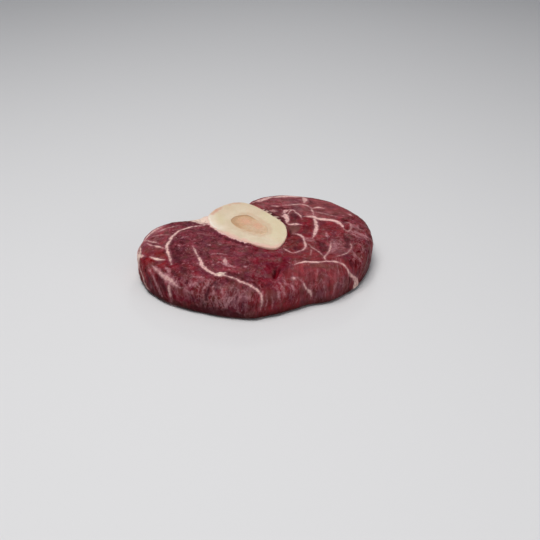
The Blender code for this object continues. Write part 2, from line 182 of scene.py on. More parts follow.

# Threads and streaks of pale skin, and two painted glints of the wet surface, in the same form
THREADS = {
    "fan_haze": ((1.6, 3.0, 3.4, 2.4), 0.40, [(-55.8, -30.5, 16.7), (-52, -35.7, 16.4),
        (-48.3, -39.7, 15.9), (-45.4, -42, 15.6), (-41, -45.7, 13.8), (-39.3, -46.9, 13.1)]),
    "outer_haze_a": (3.2, 0.32, [(53.2, 15.8), (55.8, 12.3), (60, 7.6)]),
    "outer_haze_b": (2.6, 0.38, [(52.9, 6.7), (57.2, 3.4), (61.7, -1.7)]),
    "fan_left": (1.2, 0.58, [(-58.4, -30.5, 16.2), (-56.6, -33.9, 15.1), (-54.4, -37.7, 12.8),
        (-52.6, -39.7, 8.8), (-51.1, -40.9, 5.2)]),
    "fan_right": (1.1, 0.55, [(-49.1, -32.8, 18), (-46.2, -37.2, 17.8), (-45.3, -40.1, 16.8),
        (-44.6, -42.6, 15.4)]),
    "left_low": (1.0, 0.50, [(-52, -40.2, 10.2), (-50.7, -41.1, 6.4), (-49.9, -41.7, 4.1)]),
    "loop_haze": (4.5, 0.35, [(27, -3), (31.4, -6.2)]),
    "front_arc_top": (0.9, 0.55, [(19.4, -41.9, 17.9), (21.3, -42, 17.4), (23.4, -42.8, 16.1),
        (24.8, -43.5, 14.2)]),
    "outer_dash": (0.9, 0.50, [(-58.3, -0.6), (-55.8, 0.3), (-53.4, 3.1)]),
    "bone_dash": (0.6, 0.35, [(-34.5, -0.8), (-30.1, -1.1), (-26.2, -1.1)]),
    "middle_fleck": ((2.2, 1.8, 1.4), 0.65, [(-17, -27.6), (-16.2, -33), (-11.6, -35.6)]),
    "middle_fleck_bar": (1.3, 0.42, [(-24.8, -23.6), (-20.9, -22.5), (-16.5, -23.1)]),
    "middle_speck": (1.7, 0.60, [(-6.9, -35), (-6, -35.4)]),
    "upper_speck": (1.2, 0.60, [(-27.4, -13.4), (-26, -13.7)]),
    "speck_back": (1.0, 0.45, [(-25.3, -5.2), (-24.6, -5.5)]),
    "speck_right": (1.1, 0.50, [(-21.2, -11.4), (-20.4, -12)]),
    "speck_far_right": (1.1, 0.45, [(-6.8, -13.5), (-5.6, -13.9)]),
    "speck_left": (1.0, 0.40, [(-43.3, -14.7), (-42.8, -15.3)]),
    "speck_arc": (0.9, 0.40, [(-35.4, -8), (-35, -9)]),
    "front_thread_a": (0.9, 0.45, [(-34.3, -42.1), (-31.1, -44), (-27.5, -44.3), (-25.2, -46.1)]),
    "front_thread_b": (1.1, 0.45, [(-23.9, -45.6, 18.1), (-25.4, -48.6, 16.4), (-27.1, -50.1, 14.7),
        (-28, -51.3, 12.3)]),
    "front_thread_c": (1.4, 0.50, [(-35.7, -47.4, 14.3), (-33.1, -46.7, 16), (-31.3, -46.6, 16.5),
        (-29.4, -48.8, 15.3)]),
    "front_thread_d": (1.0, 0.40, [(-24.9, -50.2, 15.3), (-25.3, -52.3, 11.4), (-26.8, -52.1, 7)]),
    "front_thread_e": (0.9, 0.40, [(-21.5, -48.3, 17.3), (-22.2, -51.5, 14.6), (-20, -53.6, 11.9)]),
    "silver_broad": ((2.2, 1.2), 0.50, [(-11.6, -53.6, 14.7), (-12.9, -54.8, 12.9), (-15.6, -55, 9.2),
        (-16.9, -54.7, 5.2)]),
    "silver_left": (1.2, 0.40, [(-18.4, -49.4, 17), (-16.9, -52.2, 15.3), (-17.3, -54, 12.8)]),
    "silver_right": (1.2, 0.40, [(-9.5, -51.6, 16.6), (-8.6, -54.1, 14.6), (-9, -55.6, 11.9)]),
    "silver_far_right": (1.0, 0.35, [(-6, -52.9, 15.9), (-5.1, -55.2, 13.4), (-5.5, -56.2, 9.8)]),
    # a painted glint
    "violet_glint": (1.3, 0.40, [(-35.7, -48.4, 12.8), (-33, -49.5, 12.5), (-30.2, -50.5, 12.2)]),
    "wall_line": (0.9, 0.40, [(-37.6, -46.7, 14.3), (-36.2, -48.5, 11.8), (-34.8, -49.3, 9.7)]),
    # a painted glint
    "glint_loop": (1.8, 0.24, [(41.3, -5), (42.9, -6.6), (42.7, -12.1), (41.2, -16.9), (39.3, -19)]),
    "little_dash": (1.3, 0.75, [(38.9, 2.2), (39.6, -2.4)]),
    "outer_thread_a": (1.1, 0.50, [(51.4, 5.9), (54.4, 1.8), (57.9, -1.7)]),
    "outer_thread_b": (1.2, 0.55, [(56.3, 5.4, 19.6), (59.8, 1.5, 19.6), (63.3, 0.5, 17.9)]),
    "outer_thread_c": (1.2, 0.45, [(53.7, -19.9, 18), (56.2, -20.3, 16.1), (57.9, -20.1, 13.3)]),
    "outer_thread_d": (1.1, 0.45, [(56.7, -8.7, 19.2), (58.4, -11.6, 18.1), (57.5, -15.7, 17.2)]),
    "outer_thread_e": (1.0, 0.45, [(51.7, -15.4, 19.1), (53.2, -20.1, 18.1), (51.9, -23.6, 17.5)]),
    "outer_thread_f": (1.1, 0.50, [(61.6, 4.1, 19.3), (62.3, 1.2, 18.7), (65.1, 1.7, 16.2)]),
    "centre_silver_a": (1.6, 0.45, [(11.2, -45.4, 17.5), (12.5, -47.4, 16.3), (14.1, -49.2, 13.8),
        (15.3, -49.6, 11.4)]),
    "centre_silver_b": (1.3, 0.40, [(13.4, -43.6, 18), (14.3, -45.8, 16.8), (13.9, -47.9, 15.6)]),
    "centre_silver_c": (1.2, 0.35, [(10.3, -49, 15.7), (11.3, -51.1, 12.9), (12.3, -51.3, 8.8)]),
    "wall_thread_a": (0.8, 0.35, [(4.7, -52.9, 14), (5.2, -54, 11.1), (4.8, -54.3, 7)]),
    "wall_thread_b": (0.8, 0.30, [(7.3, -52.5, 13.2), (8.3, -52.9, 9.3), (7.9, -53.1, 5.6)]),
    "under_stem": (1.0, 0.45, [(16.9, -43.3, 17.3), (18.5, -46.4, 14.5), (19.6, -47.2, 10)]),
}

# Dark gaps between muscles and bundles, and painted shade in creases, under the bone's edge, above the
# middle arc, at the right wall's edge and along the foot of the front wall, in the same form
GAPS_AND_SHADE = {
    "branch_gap": (1.6, 0.85, [(-59.6, -10.1), (-56.4, -13.9), (-53.5, -14.7)]),
    "branch_gap_back": (1.2, 0.60, [(-54.1, -6.2), (-51.3, -5.7)]),
    "big_left_a": ((1.4, 2.4, 3.0), 0.55, [(-44.2, -15.8), (-42.8, -21.7), (-42.3, -28.1), (-39.9, -35.3)]),
    "big_left_b": (2.4, 0.60, [(-39.6, -33.9), (-37.6, -40.1), (-34.3, -42.6)]),
    "big_left_c": (2.0, 0.60, [(-45.4, -35.3), (-43.6, -39.1), (-40.6, -41.7)]),
    "left_wall_dark": ((1.6, 2.6, 3.2, 2.6, 2.0), 0.40, [(-60.9, -24.3, 16.6), (-60.7, -29.5, 15),
        (-59, -33.7, 11.2), (-56.6, -36.2, 7.4), (-54, -38.5, 3.5)]),
    "left_wall_brown": ((1.6, 3.0, 2.6), 0.55, [(-52.1, -36.7, 16), (-50.4, -40.2, 13.9),
        (-48.4, -42.5, 11.3), (-47.8, -43.1, 6.2)]),
    "middle_foot": ((2.0, 4.4, 5.2, 4.4, 2.0), 0.60, [(-38, -46.5, 2.6), (-30, -50, 2.8), (-22, -53, 3),
        (-14, -55.5, 3.2), (-6, -56.6, 3)]),
    "front_crack": (1.1, 0.90, [(-22.9, -47.3, 17.6), (-23.8, -49.6, 16), (-25.1, -51.8, 13.2),
        (-26.3, -52.2, 7.1)]),
    "arc_spot": (2.0, 0.70, [(-22.4, -47.5, 17.5), (-20.2, -48.2, 17.5)]),
    "bone_gap": ((1.2, 1.8, 2.6, 1.8, 1.0), 0.75, [(-19.7, -3.8), (-16.2, -6.5), (-10.8, -8.9),
        (-6.9, -11.6), (-3.5, -12.9)]),
    "above_arc": ((1.4, 2.0, 1.8, 1.2), 0.55, [(-16.6, -40.4), (-12.6, -42), (-7.6, -44.4), (-3.6, -47.8)]),
    "wedge_gap": (1.2, 0.35, [(-42, 15.2), (-37.6, 13.0), (-33.6, 10.6), (-29, 7)]),
    "arc_left_dark": (1.6, 0.45, [(-46.8, -7.5), (-47.3, -14.8), (-45.4, -23), (-43.3, -29.5)]),
    "bone_gap_back": (1.8, 0.80, [(14.3, 21.4), (15.2, 19)]),
    "bone_gap_right": ((1.2, 2.2, 2.2, 1.0), 0.70, [(17, 14), (18, 10), (17.8, 3.7), (17.4, -2.2)]),
    "bar_spot": (1.8, 0.60, [(50.9, 10.4), (51.8, 8.2)]),
    "front_cleft": ((2.0, 2.6, 2.2, 1.2), 0.75, [(10.5, -32.4), (10.6, -34.8), (9.8, -37.6), (9, -42)]),
    "inner_dark": ((2.0, 4.0, 4.5, 2.0), 0.60, [(33.8, -6.1), (36, -9.6), (36.6, -14.2), (35, -18.6)]),
    "right_dark_a": ((1.6, 3.0, 3.0, 1.4), 0.60, [(49, 1.3), (50.1, -4.4), (49.8, -10.9), (48.2, -15.2)]),
    "right_dark_b": (2.6, 0.65, [(49, -23.7), (50.5, -26.4), (51.4, -28.2, 14.7)]),
    "notch": (1.6, 0.75, [(48.5, 20.2), (50.8, 20.4)]),
    "upper_right": (2.2, 0.65, [(59.5, 11.7), (60.5, 7.7)]),
    "top_dark": (2.4, 0.65, [(30.6, 45.2), (32.1, 42.3), (30.8, 39.4)]),
    "knot_right": (1.2, 0.70, [(26.2, 27.4), (26.6, 22.6)]),
    "knot_inside": ((2.4, 3.6, 2.4), 0.60, [(19, 27.2), (21.6, 24.8), (22, 20.6)]),
    "right_wall": ((2.0, 3.4, 3.4), 0.60, [(62.4, -8.7, 15.4), (62.7, -10, 10.5), (61.1, -14, 7.3),
        (58.7, -19, 5.9)]),
    "round_foot": (1.8, 0.65, [(19.6, -11.8), (20.9, -15.4), (23.3, -15.2)]),
    "back_gap": (1.6, 0.60, [(4.6, 38.6), (9.4, 34.3), (14.1, 33.9), (20.9, 33.2)]),
    "back_gap_low": (1.6, 0.65, [(4.4, 32.2), (8.8, 29), (13.2, 31.2)]),
    "under_bar": ((1.4, 3.0, 1.6), 0.45, [(27.4, 16), (27.6, 7.5), (26.6, 1)]),
    "below_round": (1.3, 0.45, [(22.2, -20.6), (26.5, -26.8), (31.9, -27.2)]),
    "fat_edge_right": (1.0, 0.60, [(50.4, -30.2, 12.4), (51, -29.6, 8.2), (51.2, -29.4, 4.6)]),
    "stria_a": (1.0, 0.45, [(29.6, -37, 18), (29.5, -40.7, 14.9), (30.3, -42, 10.4)]),
    "stria_b": (0.9, 0.50, [(38.2, -36, 17.4), (37.8, -39.4, 13.7), (38.5, -39.7, 8.6)]),
    "stria_c": (0.9, 0.45, [(43.5, -33.6, 16.2), (43, -36.5, 12.9), (43, -36.8, 8.4)]),
    "stria_d": (0.9, 0.40, [(33.4, -34.8, 18.8), (33.1, -39.4, 15.7), (33.7, -41.3, 10.6)]),
    "stria_e": (1.0, 0.45, [(46.4, -31.1, 16.2), (46.8, -33.4, 12.7), (46.5, -33.9, 8.1)]),
}

# The muscles: middle, half axes, turn, fibre's lean from upright, fibre's heading, how much longer
# than wide its grain is, how rough it looks, colour
MUSCLES = {
    "outer_left": ((-58, 0), (7, 20), 12, 72, 50, 5.0, 0.80, (0.250, 0.036, 0.046)),
    "big_left": ((-36, -14), (14, 25), 15, 14, 100, 2.5, 0.75, (0.137, 0.019, 0.029)),
    "lower_left": ((-54, -27), (8, 6), -35, 50, 20, 4.0, 0.55, (0.205, 0.003, 0.005)),
    "left_front": ((-40, -40), (14, 9), -25, 25, 120, 3.0, 0.68, (0.142, 0.004, 0.011)),
    "middle_upper": ((-14, -24), (22, 14), -25, 30, 150, 2.5, 0.75, (0.180, 0.021, 0.032)),
    "middle_front": ((-16, -52), (22, 8), 8, 30, 80, 4.0, 0.85, (0.116, 0.005, 0.008)),
    "centre": ((4, -30), (12, 20), 0, 35, 90, 3.0, 0.45, (0.152, 0.004, 0.014)),
    "right_front": ((34, -38), (22, 11), 12, 0, 0, 6.0, 0.50, (0.196, 0.024, 0.029)),
    "round": ((20, -7), (7, 11), 10, 15, 0, 2.5, 0.60, (0.165, 0.013, 0.014)),
    "under_round": ((27, -22), (12, 6), -15, 40, 30, 3.0, 0.40, (0.165, 0.016, 0.020)),
    "inner_deep": ((27, 8), (6, 13), 0, 18, 60, 3.0, 0.35, (0.170, 0.006, 0.013)),
    "right_deep": ((41, 5), (8, 15), 0, 30, 75, 3.0, 0.60, (0.190, 0.015, 0.021)),
    "right_pink": ((46, -11), (6, 9), 10, 60, 20, 3.0, 0.60, (0.225, 0.045, 0.056)),
    "right_outer": ((58, -2), (9, 26), -8, 45, 60, 3.0, 0.78, (0.140, 0.002, 0.006)),
    "back": ((32, 42), (34, 14), -10, 70, 172, 5.0, 0.65, (0.225, 0.044, 0.050)),
    "back_left": ((8, 42), (12, 12), 20, 70, 160, 5.0, 0.60, (0.230, 0.038, 0.045)),
    "knot_muscle": ((20.5, 24.5), (5, 5), 0, 15, 0, 2.0, 0.50, (0.130, 0.011, 0.018)),
    "beside_bone": ((14, 26), (6, 13), 20, 60, 130, 3.0, 0.60, (0.160, 0.020, 0.027)),
    "grey_patch": ((21.5, 9.5), (6, 5), 0, 40, 10, 3.0, 0.30, (0.205, 0.072, 0.066)),
    "front_wall": ((14, -51), (14, 6), 15, 20, 90, 3.0, 0.40, (0.190, 0.011, 0.017)),
    "under_arc": ((34, -33), (10, 3.5), 3, 0, 0, 6.0, 0.40, (0.198, 0.052, 0.044)),
}

# Muscles whose fibres follow the rounded front edge down the wall, and how fine they are
BENT = {"right_front": 1.7, "under_arc": 1.7}

# Skins and pale veils, partly a painted sheen of the wet surface: middle, half axes, strength
VEILS_AND_SHEEN = [
    ((-56, -33, 15), (10, 8, 7), 0.30),
    ((-44, -44, 14), (12, 8, 7), 0.52),
    ((-30, -48, 14), (11, 8, 6), 0.80),
    ((-14, -54, 11), (14, 6, 7), 0.85),
    ((14, -46, 14), (8, 7, 6), 0.60),
    ((37, -38, 11), (17, 9, 7), 0.70),
    ((58, 2, 18), (7, 22, 5), 0.48),
    ((45, -8, 19), (5, 8, 3), 0.80),
    ((-60, 0, 18), (6, 14, 5), 0.85),
    ((18, 44, 19), (22, 8, 4), 0.40),
]

# Where the fat is cream, not pink, in the same form
CREAM = [
    ((-34, 16, 19), (11, 8, 8), 1.0),
    ((-18.5, -42, 19), (3, 3, 3), 0.9),
    ((54, -27, 2), (5, 5, 4), 0.8),
    ((-53.5, -26.6, 19), (6, 3, 3), 0.7),
    ((-65, -20, 15), (3, 6, 6), 0.8),
    ((-61, -30, 8), (3, 6, 8), 0.5),
    ((30, 20, 19), (14, 6, 3), 0.3),
    ((-45, -8, 19), (9, 20, 4), 0.5),
]

# Deep narrow hollows: ends on the cut face, half width, depth
CLEFTS = [
    ((10.9, -33.0), (9.0, -43.5), 1.2, 3.4),
    ((17.0, 14.5), (17.9, -1.0), 1.2, 2.4),
    ((4.5, 34.5), (11.5, 27.5), 1.0, 1.5),
]

# Stains on the bone and in the marrow, with painted shade at the bone's back and on the marrow's far
# side and a painted highlight along the bone's left edge, by attribute: each stroke's width and its curve
# in plan
BONE_STAINS_AND_SHADING = {
    "red": [(1.6, [(-27.6, 22.4), (-25.4, 27), (-22.6, 30.6)]),
            (1.2, [(-18.6, 34.6), (-15.4, 36.4), (-12, 37)])],
    "pink": [(2.0, [(-21.4, 2), (-10.5, -7), (1, -13), (8.2, -15.2), (12, -12)])],
    # a painted highlight along the bone's left edge
    "edge_highlight": [(1.4, [(-29.4, 19.5), (-28.4, 13.5), (-26.2, 8.2), (-23.6, 5.2)])],
    "teeth": [(1.0, [(2.2, 29.6), (6.6, 25.2), (11.4, 18.8), (14.8, 13.4), (16.4, 6)])],
    "tan": [(2.4, [(-14, 21.8), (-6.6, 24), (0.6, 16.8), (5.8, 8.6), (6.6, 1.4), (2, -2.6), (-4.6, 0),
        (-11.4, 4)])],
    # painted shade at the bone's back and left
    "back_shade": [(8.0, [(-27, 16), (-22, 28), (-12, 35), (-2, 33), (5, 26)])],
    "yellow": [(6.0, [(-25, 21), (-22, 11)]), (7.0, [(3, 24), (12, 9), (11, -6)])],
}
MARROW_STAINS_AND_SHADE = {
    "blush": [(7.0, [(-11, 16), (-4, 13)]), (4.0, [(-2, 12), (1.5, 6)])],
    # painted shade on the marrow's far side
    "shade": [(2.4, [(-3, 18.6), (-7, 21.6), (-12, 20.6), (-14.6, 17), (-14.2, 12), (-10.4, 7)])],
}

# The photo's camera, in mm and degrees, and its focal length in the photo's own pixels
CAMERA_PLACE = (2.6, -336.8, 208.6)
CAMERA_TURN = (57.695, -1.259, 0.0)
FOCAL_PIXELS = 679.62
IMAGE_PIXELS = 540.0
SENSOR = 36.0

# The lights: place in metres, size, power and colour, and the sky's brightness by height
LIGHTS = {
    "key": ((-0.14, -0.16, 0.80), 0.42, 5.2, (1.0, 0.99, 0.97)),
    "back": ((0.05, 0.80, 0.60), 0.14, 0.6, (1.0, 0.99, 0.98)),
    "front": ((0.54, -0.46, 0.24), 0.40, 0.85, (1.0, 0.98, 0.97)),
}
SKY_LOW = (0.42, 0.43, 0.44, 1.0)
SKY_HIGH = (0.60, 0.61, 0.63, 1.0)
SKY_BETWEEN = ((0.22, 0.14), (0.62, 0.08), (0.82, 0.42))
SKY_TINT = (1.0, 1.02, 1.08)
FLOOR_HALF = 2.0
FLOOR_DROP = 0.1
FLOOR_COLOUR = (0.66, 0.66, 0.67)
FLOOR_ROUGHNESS = 0.7

# The bone's and the marrow's small forms
BONE_EDGE = 0.9
BONE_EDGE_AT_FILM = 0.3
BONE_TOUCH = -0.05
MARROW_EDGE = 0.15
MARROW_DROP = 0.16
MARROW_DROP_LEAST = 0.03
MARROW_LOW_SIDE = (-0.75, 0.66)
MARROW_DISH = 0.1
MARROW_CLEAR = 0.4
MARROW_TOUCH = 0.05
MARROW_MIDDLE = 0.02
BONE_EDGE_RINGS = 6
BONE_FACE_RINGS = 34
BONE_BORE_RINGS = 8
BONE_SOLE_RINGS = 12
BONE_WALL_RINGS = 17
MARROW_RINGS = 24
MARROW_WALL_RINGS = 10
SOLID_FOOT = 1.5

# The strokes' and the flesh's small forms
THINNEST = 0.3
FOOT_ZONE = 3.0
UNDERSIDE_EDGE = 0.15
UNDERSIDE_LEAN = -0.5
SIDE_LEVEL = 1.15
SIDE_FALL = 1.3
STROKE_STEP = 0.25
STROKE_TIP = 4.5
STROKE_END = 0.25
STROKE_PUSH = 0.45
STROKE_SWELL = 0.35
STROKE_REACH = 6.0
SEAM_SINK = 0.18
SEAM_REACH = 2.2
SEAM_RIDGE = 0.12
SEAM_RIDGE_EDGE = 0.6
SEAM_RIDGE_START = 0.6
GAP_SINK = 0.45
GAP_EDGE = 1.2
GAP_START = 0.5
CLEFT_ENDS = (0.04, 0.96)
CLEFT_POWER = 0.6
MUSCLE_BLEND = 9.0
GRAIN_APART = (17.3, 9.1, 5.7)

# What is drawn up to the bone: a film of skin at one side, and short fingers at the other
FILM_SIDE = (-0.82, -0.57)
FILM_SPAN = 0.50
FILM_WIDTH = 0.8
NO_FILM = 2.0
FILM_LIFT = 3.0
FILM_DROP = 0.2
TEETH_SIDE = (0.79, 0.62)
TEETH_SPAN = 0.86
SPAN_BLEND = 0.15
FRINGE_STRETCH = 0.3

# The fat on the left is fat below a height, less a margin at each end that widens to its foot
FAT_LEFT_TOP = 16.5
FAT_LEFT_MARGINS = (2.5, 10.5)
FAT_LEFT_WIDENING = 3.0
FAT_LEFT_SLOPE = 0.6
ALL_FAT = 2.0
OWN_FAT_PALE = 1.4

# Layers of noise: strength, size and seed
FACE_LUMPS = [(0.22, 6.5, 11)]
GRAIN_LUMPS = [(0.22, 2.6, 12), (0.10, 1.3, 13)]
WALL_FOLDS = [(0.45, 5.5, 14), (0.25, 2.2, 15)]
FOLD_SQUEEZE = (1, 1, 0.35)
BONE_LUMPS = [(0.10, 5.0, 21), (0.05, 1.8, 22)]
BONE_WALL_LUMPS = [(0.20, 4.0, 23)]
BONE_WALL_SQUEEZE = (1, 1, 0.3)
BONE_WALL_SINK = 0.10
CLEFT_WANDER = [(0.5, 3.0, 31)]
MARROW_LUMPS = [(0.16, 3.2, 41), (0.07, 1.3, 42)]
FAT_WANDER = [(1.4, 5.0, 51), (0.7, 1.6, 52)]
STROKE_WANDER = ((2.6, 1), (1.1, 91))
PUSH_SIZE = 2.6
PUSH_SEEDS = (71, 72, 73)
NOISE_CELLS = 32

# How deep light sinks in, and how far each colour goes
GLOW_DEPTH = 1.5
GLOW_RADIUS = (1.0, 0.35, 0.25)

# Steps along curves and round forms
CURVE_STEPS = 24
FINE_POINTS = 1200
FINE_ANGLES = 2400
EDGE_POINTS = 1200
FAT_POINTS = 160

# Colours
FAT_PINK = (0.74, 0.425, 0.41)
FAT_CREAM = (0.80, 0.62, 0.515)
FAT_DULL = (0.52, 0.30, 0.27)
FAT_WORN = (0.64, 0.44, 0.37)
SKIN_PINK = (0.33, 0.135, 0.16)
SKIN_DULL = (0.22, 0.070, 0.085)
SKIN_LIGHT = (0.52, 0.26, 0.285)
PURPLE = (0.105, 0.020, 0.042)
BROWN = (0.125, 0.046, 0.038)
# painted shade in the narrow hollows
HOLLOW_SHADE_RED = (0.170, 0.004, 0.012)
# painted shade for the foot of the wall
FOOT_SHADE_BROWN = (0.036, 0.003, 0.002)
DARK_WINE = (0.052, 0.007, 0.012)
BONE_CREAM = (0.63, 0.515, 0.37)
BONE_PALE = (0.69, 0.58, 0.44)
BONE_TAN = (0.60, 0.46, 0.31)
BONE_YELLOW = (0.66, 0.57, 0.37)
BONE_PINK = (0.72, 0.43, 0.37)
BONE_RED = (0.56, 0.17, 0.14)
# painted highlight on the bone
HIGHLIGHT_WHITE = (0.86, 0.76, 0.68)
MARROW_TAN = (0.57, 0.365, 0.225)
MARROW_PALE = (0.63, 0.45, 0.30)
MARROW_PINK = (0.66, 0.345, 0.225)
MARROW_BROWN = (0.42, 0.25, 0.13)
MARROW_WARM = (0.56, 0.32, 0.17)
MARROW_EDGE_TAN = (0.66, 0.50, 0.34)
MARROW_RING = (0.60, 0.42, 0.28)

# Stains, painted shade and painted highlights: the attribute, how ragged, the two values it steps
# between, the strengths there, colour
BONE_LAYERS = [
    # painted shade at the bone's back and left
    ("back_shade", 0.0, -3.5, 2.0, 0.0, 0.40, BONE_TAN),
    ("yellow", 0.0, -3.5, 1.5, 0.0, 0.55, BONE_YELLOW),
    ("core", 2.4, -0.8, 2.4, 0.75, 0.0, MARROW_EDGE_TAN),
    ("tan", 3.0, -1.2, 1.2, 0.0, 0.70, MARROW_RING),
    # painted highlight along the bone's left edge, broad
    ("edge_highlight", 0.0, -6.0, 0.0, 0.0, 0.45, HIGHLIGHT_WHITE),
    ("rim", 1.6, -0.2, 1.0, 0.55, 0.0, BONE_PINK),
    ("red", 4.5, -1.6, 0.8, 0.0, 0.50, BONE_RED),
    ("pink", 2.4, -1.6, 0.5, 0.0, 0.70, BONE_PINK),
    # painted highlight along the bone's left edge, narrow
    ("edge_highlight", 1.0, -0.5, 0.3, 0.0, 0.70, HIGHLIGHT_WHITE),
]
MARROW_LAYERS = [
    ("blush", 4.0, -2.0, 1.5, 0.0, 0.70, MARROW_PINK),
    # painted shade on the marrow's far side, broad then narrow
    ("shade", 0.0, -6.0, 1.0, 0.0, 0.75, MARROW_WARM),
    ("shade", 2.0, -1.2, 0.8, 0.0, 0.65, MARROW_BROWN),
]


def smooth_loop(points, count, closed=True):
    """count points at even steps along the Catmull-Rom curve through the given points."""
    knots = np.array(points, float)
    if not closed:
        knots = np.vstack([2 * knots[0] - knots[1], knots, 2 * knots[-1] - knots[-2]])
    a, b, c, d = (np.roll(knots, shift, axis=0)[:, None] for shift in (1, 0, -1, -2))
    t = np.linspace(0.0, 1.0, CURVE_STEPS, endpoint=False)[None, :, None]
    curve = b + 0.5 * t * ((c - a) + t * ((2 * a - 5 * b + 4 * c - d) + t * (3 * (b - c) + d - a)))
    if closed:
        line = np.vstack([curve.reshape(-1, knots.shape[1]), curve[0, :1]])
    else:
        line = np.vstack([curve[1:-2].reshape(-1, knots.shape[1]), knots[-2:-1]])
    run = np.concatenate([[0.0], np.cumsum(np.linalg.norm(np.diff(line, axis=0), axis=1))])
    steps = np.linspace(0.0, run[-1], count, endpoint=not closed)
    return np.column_stack([np.interp(steps, run, line[:, k]) for k in range(knots.shape[1])])


def outward(loop):
    """Unit normals of an anticlockwise loop, pointing out of it."""
    along = np.roll(loop, -1, axis=0) - np.roll(loop, 1, axis=0)
    normal = np.column_stack([along[:, 1], -along[:, 0]])
    return normal / np.linalg.norm(normal, axis=1)[:, None]


def aim(angles):
    return np.column_stack([np.cos(angles), np.sin(angles)])


def radius_at(points, angles):
    """How far a loop round the bone's middle lies from it, at each angle."""
    fine = smooth_loop(points, FINE_POINTS) - BONE_CENTRE
    turn = np.arctan2(fine[:, 1], fine[:, 0])
    return np.interp(angles, turn, np.linalg.norm(fine, axis=1), period=TURN)


def crossings(points, angles):
    """Nearest and farthest distance from the bone's middle to a loop, or nan where a ray misses."""
    start = smooth_loop(points, FAT_POINTS) - BONE_CENTRE
    step = np.roll(start, -1, axis=0) - start
    ray = aim(angles)[:, None, :]
    cross = ray[..., 0] * step[None, :, 1] - ray[..., 1] * step[None, :, 0]
    cross = np.where(np.abs(cross) < TINY, TINY, cross)
    share = (start[:, 0] * ray[..., 1] - start[:, 1] * ray[..., 0]) / cross
    reach = (start[:, 0] * step[:, 1] - start[:, 1] * step[:, 0]) / cross
    hit = (share >= 0) & (share <= 1) & (reach > 0)
    near = np.where(hit, reach, np.inf).min(axis=1)
    far = np.where(hit, reach, -np.inf).max(axis=1)
    missed = ~hit.any(axis=1)
    return np.where(missed, np.nan, near), np.where(missed, np.nan, far)


class Edge:
    """The slab's outline, with how far a point lies inside it and how round the edge is there."""

    def __init__(self):
        self.loop = smooth_loop(OUTLINE, EDGE_POINTS)
        front = np.clip(-outward(self.loop)[:, 1], 0.0, 1.0)[:, None] ** FRONT_POWER
        self.round = np.array(UPPER_ROUND_BACK) * (1 - front) + np.array(UPPER_ROUND_FRONT) * front
        self.tree = kdtree.KDTree(EDGE_POINTS)
        for k, (x, y) in enumerate(self.loop):
            self.tree.insert((x, y, 0.0), k)
        self.tree.balance()

    def read(self, plan):
        """For each plan point, its distance in from the outline, and the edge's inset and drop."""
        nearest = np.array([self.tree.find((x, y, 0.0))[1] for x, y in plan], dtype=int)
        best = np.full(len(plan), np.inf)
        for side in (-1, 0):
            start = self.loop[(nearest + side) % EDGE_POINTS]
            step = self.loop[(nearest + side + 1) % EDGE_POINTS] - start
            share = ((plan - start) * step).sum(axis=1) / (step**2).sum(axis=1)
            foot = start + np.clip(share, 0.0, 1.0)[:, None] * step
            best = np.minimum(best, np.linalg.norm(plan - foot, axis=1))
        return best, self.round[nearest, 0], self.round[nearest, 1]


EDGE = Edge()


def ellipse_gap(points, centre, halves, turn):
    """How far points lie from a centre in plan, as a share of a turned ellipse's half axes."""
    angle = math.radians(turn)
    x, y = (points[:, :2] - centre).T
    along = x * math.cos(angle) + y * math.sin(angle)
    across = y * math.cos(angle) - x * math.sin(angle)
    return np.hypot(along / halves[0], across / halves[1])


def quarter(distance, inset):
    """How far a round edge has fallen at a distance in from it: 1 at the edge, 0 past the inset."""
    share = np.clip(distance / inset, 0.0, 1.0)
    return 1 - np.sqrt(np.clip(1 - (1 - share) ** 2, 0.0, 1.0))


def face_height(plan):
    """The cut face's height, with the muscles' rises and hollows and the round edge."""
    rise = sum(lift * np.exp(-(ellipse_gap(plan, *place) ** 2)) for *place, lift in RISES)
    distance, inset, drop = EDGE.read(plan)
    return MUSCLE_HEIGHT + rise - drop * quarter(distance, inset)


def foot_height(plan):
    return LOWER_ROUND * quarter(EDGE.read(plan)[0], LOWER_ROUND)


def offsets(width, inset, edge_rings, rings):
    """Distances in from the outer radius: round the edge, then evenly to the inner radius."""
    swing = np.linspace(0.0, math.pi / 2, edge_rings, endpoint=False)
    edge = inset[:, None] * (1 - np.cos(swing))
    rest = inset[:, None] + (width - inset)[:, None] * np.linspace(0.0, 1.0, rings + 1)
    return np.concatenate([edge, rest], axis=1)


def between(first, last, rows):
    """Evenly spaced rows of points between two rows, without the two."""
    return first + (last - first) * np.linspace(0.0, 1.0, rows + 2)[1:-1][None, :, None]


def band(angles, inner, outer, rings):
    """A solid between two radii round the bone's middle, as rows of points for each angle.

    The rows run in over the cut face, down the inner wall, out along the foot and up the wall.
    """
    ray = aim(angles)[:, None, :]
    width = outer - inner
    inset = np.minimum(EDGE.read(BONE_CENTRE + ray[:, 0] * outer[:, None])[1], width / 2)

    def placed(gaps, height):
        plan = BONE_CENTRE + ray * (outer[:, None] - gaps)[..., None]
        tall = height(plan.reshape(-1, 2)).reshape(plan.shape[:2])
        return np.concatenate([plan, tall[..., None]], axis=2)

    face = placed(offsets(width, inset, rings["edge"], rings["top"]), face_height)
    foot = offsets(width, np.minimum(LOWER_ROUND, width / 2), rings["foot"], rings["floor"])
    sole = placed(foot[:, ::-1], foot_height)
    inner_wall = between(face[:, -1:], sole[:, :1], INNER_WALL_ROWS)
    outer_wall = between(sole[:, -1:], face[:, :1], rings["wall"])
    return np.concatenate([face, inner_wall, sole, outer_wall], axis=1)


